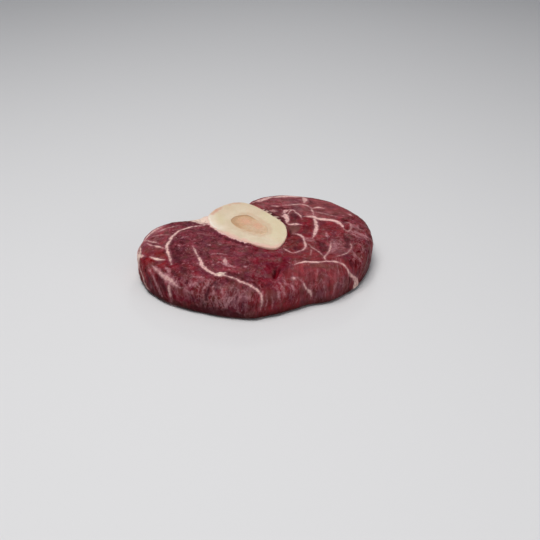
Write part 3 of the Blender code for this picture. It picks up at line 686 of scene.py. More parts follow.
def skin_faces(rows, columns, closed, capped):
    """Faces over a grid of points. The rows join up if closed, and the columns unless capped."""
    row = np.arange(rows if closed else rows - 1)[:, None]
    column = np.arange(columns - 1 if capped else columns)[None, :]
    here, there = row * columns, (row + 1) % rows * columns
    after = (column + 1) % columns
    quads = np.stack([here + column, there + column, there + after, here + after], axis=-1)
    corners = np.arange(rows * columns).reshape(rows, columns)
    ends = []
    if not closed:
        ends += [corners[0], corners[-1, ::-1]]
    if capped:
        ends += [corners[::-1, 0], corners[:, -1]]
    return quads.reshape(-1, 4).tolist() + [end.tolist() for end in ends]


def added(name, data):
    """A new object in the scene."""
    thing = bpy.data.objects.new(name, data)
    bpy.context.scene.collection.objects.link(thing)
    return thing


def mesh_piece(name, points, faces, node, material, attributes):
    """A piece from points in mm, riding on the slice in a CAD node's place."""
    mesh = bpy.data.meshes.new(name)
    mesh.from_pydata((points * MM).tolist(), [], faces)
    mesh.update()
    for label, values in attributes.items():
        kind, field = ATTRIBUTE_KINDS[values.shape[1:]]
        layer = mesh.attributes.new(label, kind, "POINT")
        layer.data.foreach_set(field, np.ascontiguousarray(values, dtype=np.float32).ravel())
    mesh.shade_smooth()
    mesh.materials.append(material)
    piece = added(name, mesh)
    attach(piece, "root")
    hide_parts(node)


def lattice_noise(points, size, seed):
    """Smooth noise from -1 to 1, with lumps of about the given size."""
    table = np.random.default_rng(seed).random((NOISE_CELLS,) * 3) * 2 - 1
    place = points / size
    cell = np.floor(place).astype(int)
    part = place - cell
    part = part * part * (3 - 2 * part)
    total = np.zeros(len(points))
    for corner in range(8):
        step = np.array([corner & 1, (corner >> 1) & 1, corner >> 2])
        weight = np.where(step, part, 1 - part).prod(axis=1)
        at = (cell + step) % NOISE_CELLS
        total += weight * table[at[:, 0], at[:, 1], at[:, 2]]
    return total


def layered(points, layers):
    """The sum of layers of noise."""
    return sum(strength * lattice_noise(points, size, seed) for strength, size, seed in layers)


def stroke_lines(strokes):
    """Each stroke as fine surface points, with its half width tapering to its ends."""
    lines = []
    for width, strength, points in strokes.values():
        raised = np.array([(*point, np.nan)[:3] for point in points])
        flat = np.isnan(raised[:, 2])
        raised[flat, 2] = face_height(raised[flat, :2])
        length = np.linalg.norm(np.diff(raised, axis=0), axis=1).sum()
        count = max(6, int(length / STROKE_STEP))
        line = smooth_loop(raised, count, closed=False)
        run = np.linspace(0.0, 1.0, count)
        widths = np.atleast_1d(width)
        full = np.interp(run, np.linspace(0.0, 1.0, len(widths)), widths)
        tip = STROKE_TIP / max(length, 2 * STROKE_TIP)
        taper = np.clip(np.minimum(run, 1 - run) / tip, STROKE_END, 1.0)
        wander = sum(lattice_noise(line, size, len(lines) + seed) for size, seed in STROKE_WANDER)
        push = np.column_stack([lattice_noise(line, PUSH_SIZE, seed) for seed in PUSH_SEEDS])
        half = 0.5 * full * taper * (1 + STROKE_SWELL * wander)
        lines.append((line + STROKE_PUSH * push, half, strength))
    return lines


def read_strokes(points, strokes):
    """For each point: how deep it lies in a stroke, in mm, and how strong that stroke is."""
    depth = np.full(len(points), -STROKE_REACH)
    strength = np.zeros(len(points))
    for line, half, strong in stroke_lines(strokes):
        margin = STROKE_REACH + half.max()
        low, high = line.min(axis=0) - margin, line.max(axis=0) + margin
        near = np.flatnonzero(((points > low) & (points < high)).all(axis=1))
        middle = line.mean(axis=0)
        here, there = points[near] - middle, line - middle
        square = (here**2).sum(axis=1)[:, None] + (there**2).sum(axis=1) - 2 * here @ there.T
        inside = (half - np.sqrt(np.maximum(square, 0.0))).max(axis=1)
        deeper = inside > depth[near]
        depth[near[deeper]] = inside[deeper]
        strength[near[deeper]] = strong
    return depth, strength


def read_muscles(points):
    """For each point: its muscle's colour, its roughness and its place in the muscle's own grain."""
    gaps = np.array([ellipse_gap(points, *muscle[:3]) for muscle in MUSCLES.values()])
    weight = np.exp(-MUSCLE_BLEND * (gaps - gaps.min(axis=0)))
    weight /= weight.sum(axis=0)
    rough = weight.T @ np.array([muscle[-2] for muscle in MUSCLES.values()])
    colour = weight.T @ np.array([muscle[-1] for muscle in MUSCLES.values()])
    own = gaps.argmin(axis=0)
    grain = np.zeros_like(points)
    for k, (name, (centre, _, _, lean, heading, stretch, _, _)) in enumerate(MUSCLES.items()):
        lean, heading = math.radians(lean), math.radians(heading)
        flat = math.sin(lean)
        fibre = np.array([flat * math.cos(heading), flat * math.sin(heading), math.cos(lean)])
        local = points[own == k] - np.array([*centre, 0.0])
        if name in BENT:
            local = local @ np.array([[BENT[name], 0.0, 0.0], [0.0, 0.0, 1.0], [0.0, 0.0, 1.0]])
        squeezed = local - fibre * (local @ fibre * (1 - 1 / stretch))[:, None]
        grain[own == k] = squeezed + np.array(GRAIN_APART) * (k + 1)
    return colour, rough, grain


def read_patches(points, patches):
    """How strong the soft round patches are at each point, from 0 to 1."""
    total = np.zeros(len(points))
    for middle, half, strength in patches:
        gap = (((points - np.array(middle)) / np.array(half)) ** 2).sum(axis=1)
        total = np.maximum(total, strength * np.exp(-gap))
    return total


def beside_bone(heading, middle, span):
    """1 where a heading from the bone's middle lies within a side's span, 0 well outside it."""
    return np.clip((heading @ np.array(middle) - span) / SPAN_BLEND + 0.5, 0.0, 1.0)


def cleft_depth(points):
    """How deep the narrow hollows go at each point of the cut face, in mm."""
    depth = np.zeros(len(points))
    wander = layered(points, CLEFT_WANDER)
    for start, end, half, deep in CLEFTS:
        start, end = np.array(start), np.array(end)
        step = end - start
        share = np.clip((points[:, :2] - start) @ step / (step @ step), 0.0, 1.0)
        foot = start + share[:, None] * step
        gap = np.linalg.norm(points[:, :2] - foot, axis=1) + wander
        ends = np.sin(math.pi * np.clip(share, *CLEFT_ENDS)) ** CLEFT_POWER
        depth = np.maximum(depth, deep * ends * np.exp(-((gap / half) ** 2)))
    return depth


def grid_normals(grid, closed):
    """Unit normals of a grid of points, from its neighbours."""
    if closed:
        down = np.roll(grid, -1, axis=0) - np.roll(grid, 1, axis=0)
    else:
        down = np.gradient(grid, axis=0)
    along = np.roll(grid, -1, axis=1) - np.roll(grid, 1, axis=1)
    normal = np.cross(down, along)
    return normal / np.maximum(np.linalg.norm(normal, axis=2, keepdims=True), TINY)


def read_side(normal):
    """1 on the side wall, 0 on the cut face and on the underside."""
    return np.clip(SIDE_LEVEL - SIDE_FALL * np.abs(normal[:, 2]), 0.0, 1.0)


def own_fat(node, points, angles):
    """How deep each point of a piece of fat lies in its fat, which is narrower at its foot."""
    if node == "fat_wedge":
        return np.full(len(points), ALL_FAT)
    run = np.repeat(angles - angles[0], len(points) // len(angles))
    reach = np.linalg.norm(points[:, :2] - BONE_CENTRE, axis=1)
    low, high = FAT_LEFT_MARGINS
    inside = np.minimum(run * reach - low, (run.max() - run) * reach - high)
    inside = inside - FAT_LEFT_WIDENING * (1 - np.clip(points[:, 2] / FAT_LEFT_TOP, 0.0, 1.0))
    inside = np.minimum((FAT_LEFT_TOP - points[:, 2]) * FAT_LEFT_SLOPE, inside)
    return inside + layered(points, FAT_WANDER)


def flesh_piece(name, angles, inner, outer, rings, node, slot, material):
    """Muscle or fat between two radii, with its relief and with what the materials read."""
    grid = band(angles, inner, outer, rings)
    points = grid.reshape(-1, 3)
    normal = grid_normals(grid, closed=False)
    normal[:, rings["edge"] + rings["top"]] = UP
    normal = normal.reshape(-1, 3)
    under = (points[:, 2] < FOOT_ZONE) & (normal[:, 2] < UNDERSIDE_LEAN)
    seen = points.copy()
    seen[under, 2] = face_height(points[under, :2])
    seam, pale = read_strokes(seen, SEAMS)
    thread, silver = read_strokes(seen, THREADS)
    gap, dark = read_strokes(seen, GAPS_AND_SHADE)
    if node in ("fat_wedge", "fat_left"):
        own = own_fat(node, points, angles)
        pale = np.where(own > seam, OWN_FAT_PALE, pale)
        seam = np.maximum(seam, own)
    colour, rough, grain = read_muscles(points)

    lift = -SEAM_SINK * np.exp(-np.maximum(-seam, 0.0) / SEAM_REACH)
    lift += SEAM_RIDGE * np.clip(seam / SEAM_RIDGE_EDGE + SEAM_RIDGE_START, 0.0, 1.0)
    lift -= GAP_SINK * dark * np.clip(gap / GAP_EDGE + GAP_START, 0.0, 1.0)
    lift += layered(points, FACE_LUMPS) + rough * layered(grain, GRAIN_LUMPS)
    lift += read_side(normal) * layered(points * FOLD_SQUEEZE, WALL_FOLDS)
    lift *= np.clip(points[:, 2] / FOOT_ZONE, 0.0, 1.0)
    moved = points + normal * lift[:, None]

    face = np.clip(normal[:, 2], 0.0, 1.0) * (points[:, 2] > FOOT_ZONE)
    hollow = cleft_depth(points)
    plan = points[:, :2] - BONE_CENTRE
    reach = np.linalg.norm(plan, axis=1)
    heading = plan / np.maximum(reach, TINY)[:, None]
    radius = radius_at(BONE_OUTLINE, np.arctan2(plan[:, 1], plan[:, 0]))
    out = reach - radius
    film = beside_bone(heading, FILM_SIDE, FILM_SPAN)
    teeth = beside_bone(heading, TEETH_SIDE, TEETH_SPAN)
    drawn = np.maximum(film, teeth) * np.exp(-((out / FILM_LIFT) ** 2))
    drawn = drawn * np.maximum(BONE_HEIGHT - FILM_DROP - moved[:, 2], 0.0)
    moved[:, 2] += (drawn - hollow) * face
    attributes = {
        "seam": seam, "pale": pale, "thread": thread, "silver": silver, "gap": gap, "dark": dark,
        "veil": read_patches(points, VEILS_AND_SHEEN), "cream": read_patches(points, CREAM), "rough": rough,
        "wall": np.clip((normal[:, 2] + 1.0) / UNDERSIDE_EDGE, 0.0, 1.0),
        "film": (FILM_WIDTH + NO_FILM) * film * face - NO_FILM - out,
        "teeth": teeth * face, "out": out,
        "fringe": np.column_stack([heading * radius[:, None], FRINGE_STRETCH * out]),
        "hollow": hollow * face, "grain": grain,
        "tone": np.column_stack([colour, np.ones(len(colour))]),
    }
    faces = skin_faces(*grid.shape[:2], closed=False, capped=False)
    mesh_piece(name, moved, faces, node, material, attributes)


def meat_inner(angles):
    bone = radius_at(BONE_OUTLINE, angles) + BONE_TOUCH
    return np.fmax(bone, crossings(FAT_OUTLINES["fat_wedge"], angles)[1])


def meat_outer(angles):
    outer = radius_at(OUTLINE, angles)
    for name in ("fat_left", "fat_right"):
        outer = np.fmin(outer, crossings(FAT_OUTLINES[name], angles)[0])
    return outer


def meat_angles():
    """Angles for the meat, evenly spaced along the outline, where it lies outside bone and fat."""
    loop = smooth_loop(OUTLINE, MEAT_SIDES) - BONE_CENTRE
    turn = np.sort(np.arctan2(loop[:, 1], loop[:, 0]) % TURN)
    turn = np.concatenate([turn, turn + TURN])
    inside = meat_outer(turn) - meat_inner(turn) > THINNEST
    start = np.flatnonzero(inside & ~np.roll(inside, 1) & (turn > math.pi / 2))[0]
    stop = start + np.flatnonzero(~inside[start:])[0]
    return turn[start:stop]


def fat_radii(name, angles):
    """The two radii of a piece of fat at each angle, or nan where it has none."""
    near, far = crossings(FAT_OUTLINES[name], angles)
    inner = np.maximum(near, radius_at(BONE_OUTLINE, angles) + BONE_TOUCH)
    return inner, np.minimum(far, radius_at(OUTLINE, angles))


def fat_span(name):
    """The angles that a piece of fat spans, and its two radii at each."""
    fine = np.linspace(0.0, TURN, FINE_ANGLES, endpoint=False)
    inner, outer = fat_radii(name, fine)
    inside = np.nan_to_num(outer - inner, nan=-1.0) > THINNEST
    angles = np.linspace(fine[inside][0], fine[inside][-1], FAT_SIDES)
    inner, outer = fat_radii(name, angles)
    return angles, inner, np.maximum(outer, inner + THINNEST)


def make_flesh():
    flesh = flesh_material()
    angles = meat_angles()
    flesh_piece("raw_meat", angles, meat_inner(angles), meat_outer(angles), MEAT_RINGS, "meat",
                "muscle", flesh)
    for name in FAT_OUTLINES:
        flesh_piece(f"{name}_piece", *fat_span(name), FAT_RINGS, name, "fat", flesh)


def ring_grid(rings):
    """A grid of points from rings round the bone's middle, each a radius and a height, and radii."""
    radii, heights = (
        np.stack([np.broadcast_to(ring[k], BONE_SIDES) for ring in rings], axis=1) for k in (0, 1)
    )
    plan = BONE_CENTRE + aim(BONE_ANGLES)[:, None] * radii[..., None]
    return np.concatenate([plan, heights[..., None]], axis=2), radii


def straight(first, last, count):
    """Rings evenly spaced from one ring to another."""
    return [tuple(a + (b - a) * share for a, b in zip(first, last))
            for share in np.linspace(0.0, 1.0, count)]


def stain_and_shading_depths(points, stains):
    """For each kind of stain, painted shade and painted highlight, how deep each point lies in its strokes,
    whatever its height.
    """
    depths = {}
    for label, strokes in stains.items():
        flat = {k: (width, 1.0, [(x, y, 0.0) for x, y in line])
                for k, (width, line) in enumerate(strokes)}
        depths[label] = read_strokes(points * (1, 1, 0), flat)[0]
    return depths


def make_bone():
    """The sawn bone, with softened edges and a slightly worn face."""
    outer = radius_at(BONE_OUTLINE, BONE_ANGLES)
    inner = radius_at(MARROW_OUTLINE, BONE_ANGLES)
    film = beside_bone(aim(BONE_ANGLES), FILM_SIDE, FILM_SPAN)
    edge = BONE_EDGE + (BONE_EDGE_AT_FILM - BONE_EDGE) * film
    top, bore = BONE_HEIGHT, MARROW_EDGE
    swings = [(1 - math.cos(swing), 1 - math.sin(swing))
              for swing in np.linspace(0.0, math.pi / 2, BONE_EDGE_RINGS)]
    rings = [(outer - edge * over, top - edge * down) for over, down in swings]
    rings += straight((outer - edge, top), (inner + bore, top), BONE_FACE_RINGS)[1:]
    rings += [(inner + bore * down, top - bore * over) for over, down in swings[1:]]
    rings += straight((inner, top - bore), (inner, bore), BONE_BORE_RINGS)[1:]
    rings += straight((inner, 0.0), (outer - BONE_EDGE, 0.0), BONE_SOLE_RINGS)
    rings += straight((outer, BONE_EDGE), (outer, top - edge), BONE_WALL_RINGS)[:-1]
    grid, radii = ring_grid(rings)
    points = grid.reshape(-1, 3)
    normal = grid_normals(grid, closed=True).reshape(-1, 3)
    wall = np.clip(1.0 - np.abs(normal[:, 2]), 0.0, 1.0)
    lift = layered(points, BONE_LUMPS)
    lift += wall * (layered(points * BONE_WALL_SQUEEZE, BONE_WALL_LUMPS) - BONE_WALL_SINK)
    lift *= np.clip(points[:, 2] / SOLID_FOOT, 0.0, 1.0)
    attributes = {
        "rim": (outer[:, None] - radii).ravel(),
        "core": (radii - inner[:, None]).ravel(),
        "side": read_side(normal), **stain_and_shading_depths(points, BONE_STAINS_AND_SHADING),
    }
    faces = skin_faces(*grid.shape[:2], closed=True, capped=False)
    mesh_piece("sawn_bone", points + normal * lift[:, None], faces, "bone",
               bone_material(), attributes)


def make_marrow():
    """The marrow: a soft plug, dished and a little lumpy, that meets the bone's inner edge."""
    inner = radius_at(MARROW_OUTLINE, BONE_ANGLES) + MARROW_TOUCH
    far = np.clip(aim(BONE_ANGLES) @ np.array(MARROW_LOW_SIDE), 0.0, 1.0)
    rim = BONE_HEIGHT - MARROW_DROP_LEAST - (MARROW_DROP - MARROW_DROP_LEAST) * far
    middle = BONE_HEIGHT - MARROW_DROP - MARROW_DISH
    rings = [(inner * share, middle + (rim - middle) * share**2)
             for share in np.linspace(MARROW_MIDDLE, 1.0, MARROW_RINGS)]
    foot = (inner, MARROW_CLEAR)
    rings += straight((inner, rim), foot, MARROW_WALL_RINGS)[1:]
    rings += straight(foot, (inner * MARROW_MIDDLE, MARROW_CLEAR), MARROW_WALL_RINGS)[1:]
    grid, radii = ring_grid(rings)
    points = grid.reshape(-1, 3)
    normal = grid_normals(grid, closed=True)
    normal[:, 0] = UP
    normal[:, -1] = DOWN
    lift = layered(points, MARROW_LUMPS) * np.clip(points[:, 2] / SOLID_FOOT, 0.0, 1.0)
    attributes = {"core": (inner[:, None] - radii).ravel(), **stain_and_shading_depths(points, MARROW_STAINS_AND_SHADE)}
    faces = skin_faces(*grid.shape[:2], closed=True, capped=True)
    mesh_piece("marrow_plug", points + normal.reshape(-1, 3) * lift[:, None], faces, "marrow",
               marrow_material(), attributes)


class Paint:
    """A material whose nodes are added by short calls. A value is a number or a node's output."""

    def __init__(self, name):
        self.material = bpy.data.materials.new(name)
        self.material.use_nodes = True
        self.tree = self.material.node_tree
        self.shader = self.tree.nodes["Principled BSDF"]
        coordinates = self.tree.nodes.new("ShaderNodeTexCoord").outputs["Object"]
        self.place = self.scaled(coordinates, (1 / MM, 1 / MM, 1 / MM))

    def put(self, socket, value):
        if isinstance(value, bpy.types.NodeSocket):
            self.tree.links.new(value, socket)
        elif hasattr(value, "__len__") and len(value) == 3 and socket.type == "RGBA":
            socket.default_value = (*value, 1.0)
        else:
            socket.default_value = value

    def node(self, kind, values=(), **settings):
        node = self.tree.nodes.new(kind)
        for key, setting in settings.items():
            setattr(node, key, setting)
        for key, value in dict(values).items():
            self.put(node.inputs[key], value)
        return node

    def read(self, name, output="Fac"):
        return self.node("ShaderNodeAttribute", attribute_name=name).outputs[output]

    def vector(self, operation, a, b):
        return self.node("ShaderNodeVectorMath", {0: a, 1: b}, operation=operation).outputs[0]

    def scaled(self, vector, by):
        return self.vector("MULTIPLY", vector, by)

    def math(self, operation, a, b=0.0, c=0.0):
        return self.node("ShaderNodeMath", {0: a, 1: b, 2: c}, operation=operation).outputs[0]

    def times(self, a, b):
        return self.math("MULTIPLY", a, b)

    def fused(self, a, b, c):
        """a times b, plus c."""
        return self.math("MULTIPLY_ADD", a, b, c)

    def step(self, value, low, high, start=0.0, end=1.0):
        """A smooth step from start to end, as the value goes from low to high."""
        values = {"Value": value, "From Min": low, "From Max": high, "To Min": start, "To Max": end}
        node = self.node("ShaderNodeMapRange", values, interpolation_type="SMOOTHSTEP")
        return node.outputs["Result"]

    def noise(self, place, size, detail=2.0, rough=0.5, output="Fac"):
        values = {"Vector": place, "Scale": 1 / size, "Detail": detail, "Roughness": rough}
        return self.node("ShaderNodeTexNoise", values).outputs[output]

    def uneven(self, place, size, detail=2.0, rough=0.5):
        """Noise about 0."""
        return self.math("SUBTRACT", self.noise(place, size, detail, rough), 0.5)

    def winding(self, place, size, detail, width):
        """Thin winding lines: 1 on a line, 0 off it."""
        off = self.math("ABSOLUTE", self.uneven(place, size, detail, 0.6))
        return self.step(off, 0.0, width, 1.0, 0.0)

    def cells(self, place, size, feature):
        values = {"Vector": place, "Scale": 1 / size}
        return self.node("ShaderNodeTexVoronoi", values, feature=feature).outputs["Distance"]

    def warped(self, place, size, amount):
        """The place moved about by noise of the given size, to break up straight cells."""
        push = self.vector("SUBTRACT", self.noise(place, size, output="Color"), (0.5, 0.5, 0.5))
        return self.vector("ADD", place, self.scaled(push, (amount, amount, amount)))

    def mix(self, share, a, b):
        node = self.node("ShaderNodeMix", data_type="RGBA")
        colours = [socket for socket in node.inputs if socket.type == "RGBA"]
        self.put(node.inputs["Factor"], share)
        self.put(colours[0], a)
        self.put(colours[1], b)
        return [socket for socket in node.outputs if socket.type == "RGBA"][0]

    def brighter(self, colour, by):
        values = {0: colour, "Scale": by}
        return self.node("ShaderNodeVectorMath", values, operation="SCALE").outputs[0]

    def stains_and_shading(self, colour, ragged, layers):
        """The colour with stains, painted shade and painted highlights, each where an attribute, made
        ragged, steps between two values.
        """
        for label, by, low, high, start, end, tint in layers:
            edge = self.fused(ragged, by, self.read(label))
            colour = self.mix(self.step(edge, low, high, start, end), colour, tint)
        return colour

    def finish(self, colour, roughness, height, depth, specular, coat, coat_roughness, glow):
        """Links the surface. depth is the bump's depth in mm, and glow the light that sinks in."""
        bump = self.node("ShaderNodeBump", {"Height": height, "Distance": depth * MM, "Strength": 1.0})
        values = {
            "Base Color": colour, "Roughness": roughness, "Normal": bump.outputs["Normal"],
            "Specular IOR Level": specular, "Coat Weight": coat, "Coat Roughness": coat_roughness,
            "Subsurface Weight": glow, "Subsurface Radius": GLOW_RADIUS,
            "Subsurface Scale": GLOW_DEPTH * MM,
        }
        for key, value in values.items():
            self.put(self.shader.inputs[key], value)
        return self.material


def flesh_material():
    """Raw muscle and fat. Their seams, skins and grain lie where the piece's attributes say."""
    paint = Paint("raw_flesh")
    place, read, noise, uneven = paint.place, paint.read, paint.noise, paint.uneven
    step, times, fused, mix = paint.step, paint.times, paint.fused, paint.mix
    grain, rough, veil = read("grain", "Vector"), read("rough"), read("veil")

    def swung(colour, size, low, high, by):
        """The colour made darker and lighter by the grain's noise, more so where it is rough."""
        level = step(noise(grain, size), low, high, -by, by)
        return paint.brighter(colour, fused(level, rough, 1.0))

    # The flesh: clouds, and bundles of fibres that are dark between and pale on top
    clouds = step(noise(place, 8.0), 0.34, 0.66, 0.78, 1.20)
    colour = paint.brighter(read("tone", "Color"), clouds)
    colour = swung(colour, 4.0, 0.34, 0.66, 0.36)
    bundle = noise(grain, 1.9)
    colour = mix(times(step(bundle, 0.36, 0.66, 0.0, 0.36), rough), colour, SKIN_DULL)
    colour = paint.brighter(colour, fused(step(bundle, 0.32, 0.52, -0.50, 0.0), rough, 1.0))
    colour = swung(colour, 0.9, 0.30, 0.70, 0.16)
    colour = mix(step(noise(place, 6.5), 0.50, 0.66, 0.0, 0.40), colour, PURPLE)
    colour = mix(step(noise(place, 5.0), 0.36, 0.50, 0.42, 0.0), colour, BROWN)

    # Pale films between the bundles, in patches
    patch = times(step(noise(place, 4.0), 0.44, 0.62, 0.0, 0.55), rough)
    colour = mix(times(paint.winding(grain, 3.2, 2.0, 0.035), patch), colour, SKIN_PINK)

    # Small pale flecks: painted glints of the wet surface, and flecks of fat
    patch = times(step(noise(place, 9.0, 1.0), 0.40, 0.62, 0.0, 0.60), rough)
    flecks = times(step(noise(grain, 1.8, 2.0, 0.6), 0.57, 0.74), patch)
    colour = mix(flecks, colour, SKIN_LIGHT)

    # Painted shade: dark red-brown towards the foot of the wall
    low = paint.node("ShaderNodeSeparateXYZ", {0: place}).outputs["Z"]
    low = fused(noise(place, 6.0), -6.0, low)
    colour = mix(times(step(low, -2.5, 5.0, 0.92, 0.0), read("wall")), colour, FOOT_SHADE_BROWN)

    # Skins: pale membranes with brighter threads, partly a painted sheen of the wet surface
    drawn = paint.scaled(paint.warped(place, 7.0, 6.0), (1.0, 1.0, 0.35))
    skin_and_sheen = step(noise(drawn, 2.8, 3.0, 0.6), 0.44, 0.62, 0.0, 0.50)
    colour = mix(times(skin_and_sheen, veil), colour, SKIN_PINK)
    strand = times(paint.winding(drawn, 4.0, 3.0, 0.045), veil)
    colour = mix(times(strand, 0.50), colour, SKIN_LIGHT)
    edge = fused(uneven(place, 1.3, 3.0, 0.6), 2.4, read("thread"))
    streak = times(step(edge, -0.80, 0.60), read("silver"))
    thin = step(noise(drawn, 1.3, 3.0, 0.6), 0.38, 0.60, 0.55, 1.35)
    colour = mix(times(streak, thin), colour, SKIN_LIGHT)

    # Dark gaps, partly painted shade in creases and under edges, and painted shade in the hollows
    edge = fused(uneven(place, 2.2, 3.0, 0.6), 3.0, read("gap"))
    colour = mix(times(step(edge, -0.9, 0.6), read("dark")), colour, DARK_WINE)
    colour = mix(step(read("hollow"), 0.6, 2.4, 0.0, 0.85), colour, HOLLOW_SHADE_RED)

    # Short pale fingers at one side of the bone, dark between
    fringe, out, teeth = read("fringe", "Vector"), read("out"), read("teeth")
    colour = mix(times(step(out, 1.0, 4.6, 0.70, 0.0), teeth), colour, DARK_WINE)
    edge = paint.math("SUBTRACT", fused(uneven(fringe, 1.7), 12.0, 0.8), out)
    colour = mix(times(step(edge, -0.8, 1.6, 0.0, 0.80), teeth), colour, FAT_WORN)

    # A film of skin at its other side
    edge = fused(uneven(fringe, 1.8, 3.0, 0.6), 3.2, read("film"))
    colour = mix(step(edge, -1.3, 0.2, 0.0, 0.4), colour, SKIN_PINK)
    rim = mix(step(out, -0.4, 1.2), FAT_CREAM, FAT_PINK)
    colour = mix(step(edge, -0.5, 0.3, 0.0, 0.9), colour, rim)

    # Seams of fat, with a ragged edge and a pinkish film along it
    seam, pale = read("seam"), read("pale")
    edge = fused(uneven(place, 2.0), 1.0, seam)
    edge = fused(uneven(place, 0.9), 0.5, edge)
    colour = mix(times(step(edge, -1.5, 0.1, 0.0, 0.38), pale), colour, SKIN_PINK)
    worn = times(step(noise(place, 1.7), 0.32, 0.58, 0.50, 1.0), pale)
    fat = times(step(edge, -0.45, 0.40), worn)
    mellow = step(noise(place, 2.5), 0.35, 0.65, 0.0, 0.35)
    rich = mix(paint.math("MAXIMUM", mellow, read("cream")), FAT_PINK, FAT_CREAM)
    lobes = paint.cells(paint.warped(place, 2.0, 1.2), 1.9, "DISTANCE_TO_EDGE")
    thick = times(step(lobes, 0.0, 0.12, 0.16, 0.0), step(seam, 0.8, 1.5))
    colour = mix(fat, colour, mix(thick, rich, FAT_DULL))

    roughness = step(noise(place, 2.4, 3.0), 0.3, 0.7, 0.24, 0.44)
    height = fused(fat, 0.2, times(bundle, fused(rough, 0.8, 0.2)))
    return paint.finish(colour, roughness, height, depth=0.45, specular=0.01, coat=0.04,
                        coat_roughness=0.14, glow=0.04)


def bone_material():
    """Sawn bone: cream, yellower in clouds, with a pink rim and a tan edge to the marrow, painted shade at
    its back and a painted highlight along its left edge.
    """
    paint = Paint("sawn_bone_cream")
    place, read, noise, scaled = paint.place, paint.read, paint.noise, paint.scaled
    step, times, fused, mix = paint.step, paint.times, paint.fused, paint.mix
    colour = mix(step(noise(place, 9.0, 3.0), 0.38, 0.62), BONE_CREAM, BONE_PALE)
    mottle = noise(place, 1.5, 4.0, 0.65)
    colour = mix(step(mottle, 0.42, 0.70, 0.0, 0.30), colour, BONE_TAN)
    colour = paint.stains_and_shading(colour, paint.uneven(place, 2.6, 3.0, 0.6), BONE_LAYERS)
    teeth = fused(paint.uneven(scaled(place, (1.0, 1.0, 0.2)), 1.8), 6.0, read("teeth"))
    colour = mix(step(teeth, -0.6, 0.9, 0.0, 0.50), colour, DARK_WINE)

    # The side wall: pinker, with red streaks and tan patches
    side = read("side")
    colour = mix(times(side, 0.45), colour, BONE_PINK)
    streaks = noise(scaled(place, (1.0, 1.0, 0.14)), 1.5, 3.0, 0.6)
    colour = mix(times(step(streaks, 0.46, 0.68, 0.0, 0.45), side), colour, BONE_RED)
    patches = noise(scaled(place, (1.0, 1.0, 0.5)), 4.5, 3.0, 0.6)
    colour = mix(times(step(patches, 0.50, 0.62, 0.0, 0.40), side), colour, BONE_TAN)

    # Small pores by the marrow, and the saw's marks
    pores = step(paint.cells(place, 0.8, "F1"), 0.08, 0.24, 1.0, 0.0)
    holes = times(pores, step(read("core"), 0.3, 4.0, 1.0, 0.0))
    colour = mix(times(holes, 0.30), colour, MARROW_BROWN)
    saw = noise(scaled(place, (0.22, 2.4, 1.0)), 1.2)
    height = fused(holes, -0.6, fused(saw, 0.5, times(mottle, 0.6)))
    roughness = step(mottle, 0.3, 0.7, 0.42, 0.60)
    return paint.finish(colour, roughness, height, depth=0.16, specular=0.20, coat=0.0,
                        coat_roughness=0.3, glow=0.12)


def marrow_material():
    """Marrow: soft tan fat, with a pink middle, a brown side of painted shade and a soft edge."""
    paint = Paint("soft_marrow")
    place, step, times, fused = paint.place, paint.step, paint.times, paint.fused
    cloud = paint.noise(place, 4.0, 4.0, 0.6)
    colour = paint.mix(step(cloud, 0.35, 0.65), MARROW_TAN, MARROW_PALE)
    ragged = paint.uneven(place, 2.2, 3.0, 0.6)
    colour = paint.stains_and_shading(colour, ragged, MARROW_LAYERS)
    near = step(fused(ragged, 2.4, paint.read("core")), -1.2, 2.4, 0.95, 0.0)
    unshaded = step(paint.read("shade"), -5.0, -0.5, 1.0, 0.0)
    colour = paint.mix(times(near, unshaded), colour, MARROW_EDGE_TAN)
    grains = paint.noise(place, 0.8, 4.0, 0.7)
    colour = paint.brighter(colour, step(grains, 0.3, 0.7, 0.88, 1.10))
    height = fused(grains, 0.6, times(cloud, 0.8))
    roughness = step(grains, 0.3, 0.7, 0.36, 0.54)
    return paint.finish(colour, roughness, height, depth=0.25, specular=0.30, coat=0.05,
                        coat_roughness=0.25, glow=0.15)


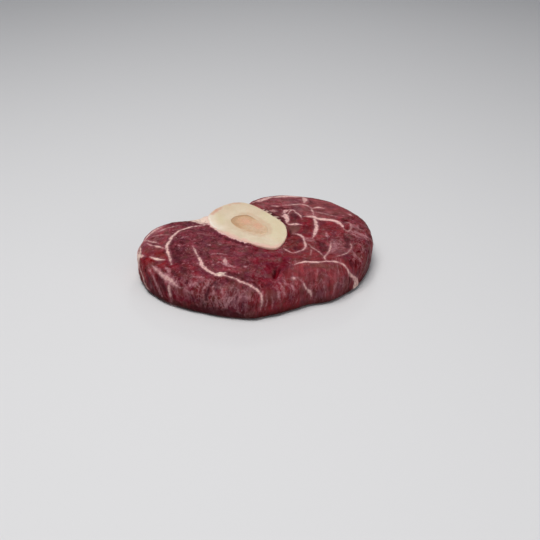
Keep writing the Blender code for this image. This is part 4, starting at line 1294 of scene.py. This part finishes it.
def make_camera():
    """The photo's view."""
    lens = bpy.data.cameras.new("photo_view")
    lens.sensor_width = SENSOR
    lens.lens = SENSOR * FOCAL_PIXELS / IMAGE_PIXELS
    camera = added("photo_view", lens)
    camera.location = [place * MM for place in CAMERA_PLACE]
    camera.rotation_euler = [math.radians(angle) for angle in CAMERA_TURN]
    bpy.context.scene.camera = camera


def make_lights():
    """Square soft lights, aimed at the slice."""
    for name, (place, size, power, colour) in LIGHTS.items():
        light = bpy.data.lights.new(name, "AREA")
        light.size = size
        light.energy = power
        light.color = colour
        lamp = added(name, light)
        lamp.location = x, y, z = place
        lamp.rotation_euler = (math.atan2(math.hypot(x, y), z), 0.0, math.atan2(x, -y))


def make_world():
    """An even pale sky: bright at the horizon and overhead, and dimmer between."""
    world = bpy.data.worlds.new("studio")
    bpy.context.scene.world = world
    world.use_nodes = True
    tree = world.node_tree
    place = tree.nodes.new("ShaderNodeTexCoord").outputs["Generated"]
    split = tree.nodes.new("ShaderNodeSeparateXYZ")
    tree.links.new(place, split.inputs[0])
    ramp = tree.nodes.new("ShaderNodeValToRGB")
    tree.links.new(split.outputs["Z"], ramp.inputs["Fac"])
    stops = ramp.color_ramp.elements
    stops[0].position, stops[0].color = 0.0, SKY_LOW
    stops[1].position, stops[1].color = 1.0, SKY_HIGH
    for height, glow in SKY_BETWEEN:
        stops.new(height).color = (*(glow * tint for tint in SKY_TINT), 1.0)
    tree.links.new(ramp.outputs["Color"], tree.nodes["Background"].inputs["Color"])


def make_floor():
    mesh = bpy.data.meshes.new("floor")
    corners = [(x * FLOOR_HALF, y * FLOOR_HALF, 0) for x, y in ((-1, -1), (1, -1), (1, 1), (-1, 1))]
    mesh.from_pydata(corners, [], [(0, 1, 2, 3)])
    floor = added("floor", mesh)
    floor.location.z = -FLOOR_DROP * MM
    paint = Paint("pale_floor")
    paint.put(paint.shader.inputs["Base Color"], FLOOR_COLOUR)
    paint.put(paint.shader.inputs["Roughness"], FLOOR_ROUGHNESS)
    mesh.materials.append(paint.material)


bpy.context.scene.view_settings.view_transform = "Standard"
make_camera()
make_world()
make_lights()
make_floor()
make_flesh()
make_bone()
make_marrow()
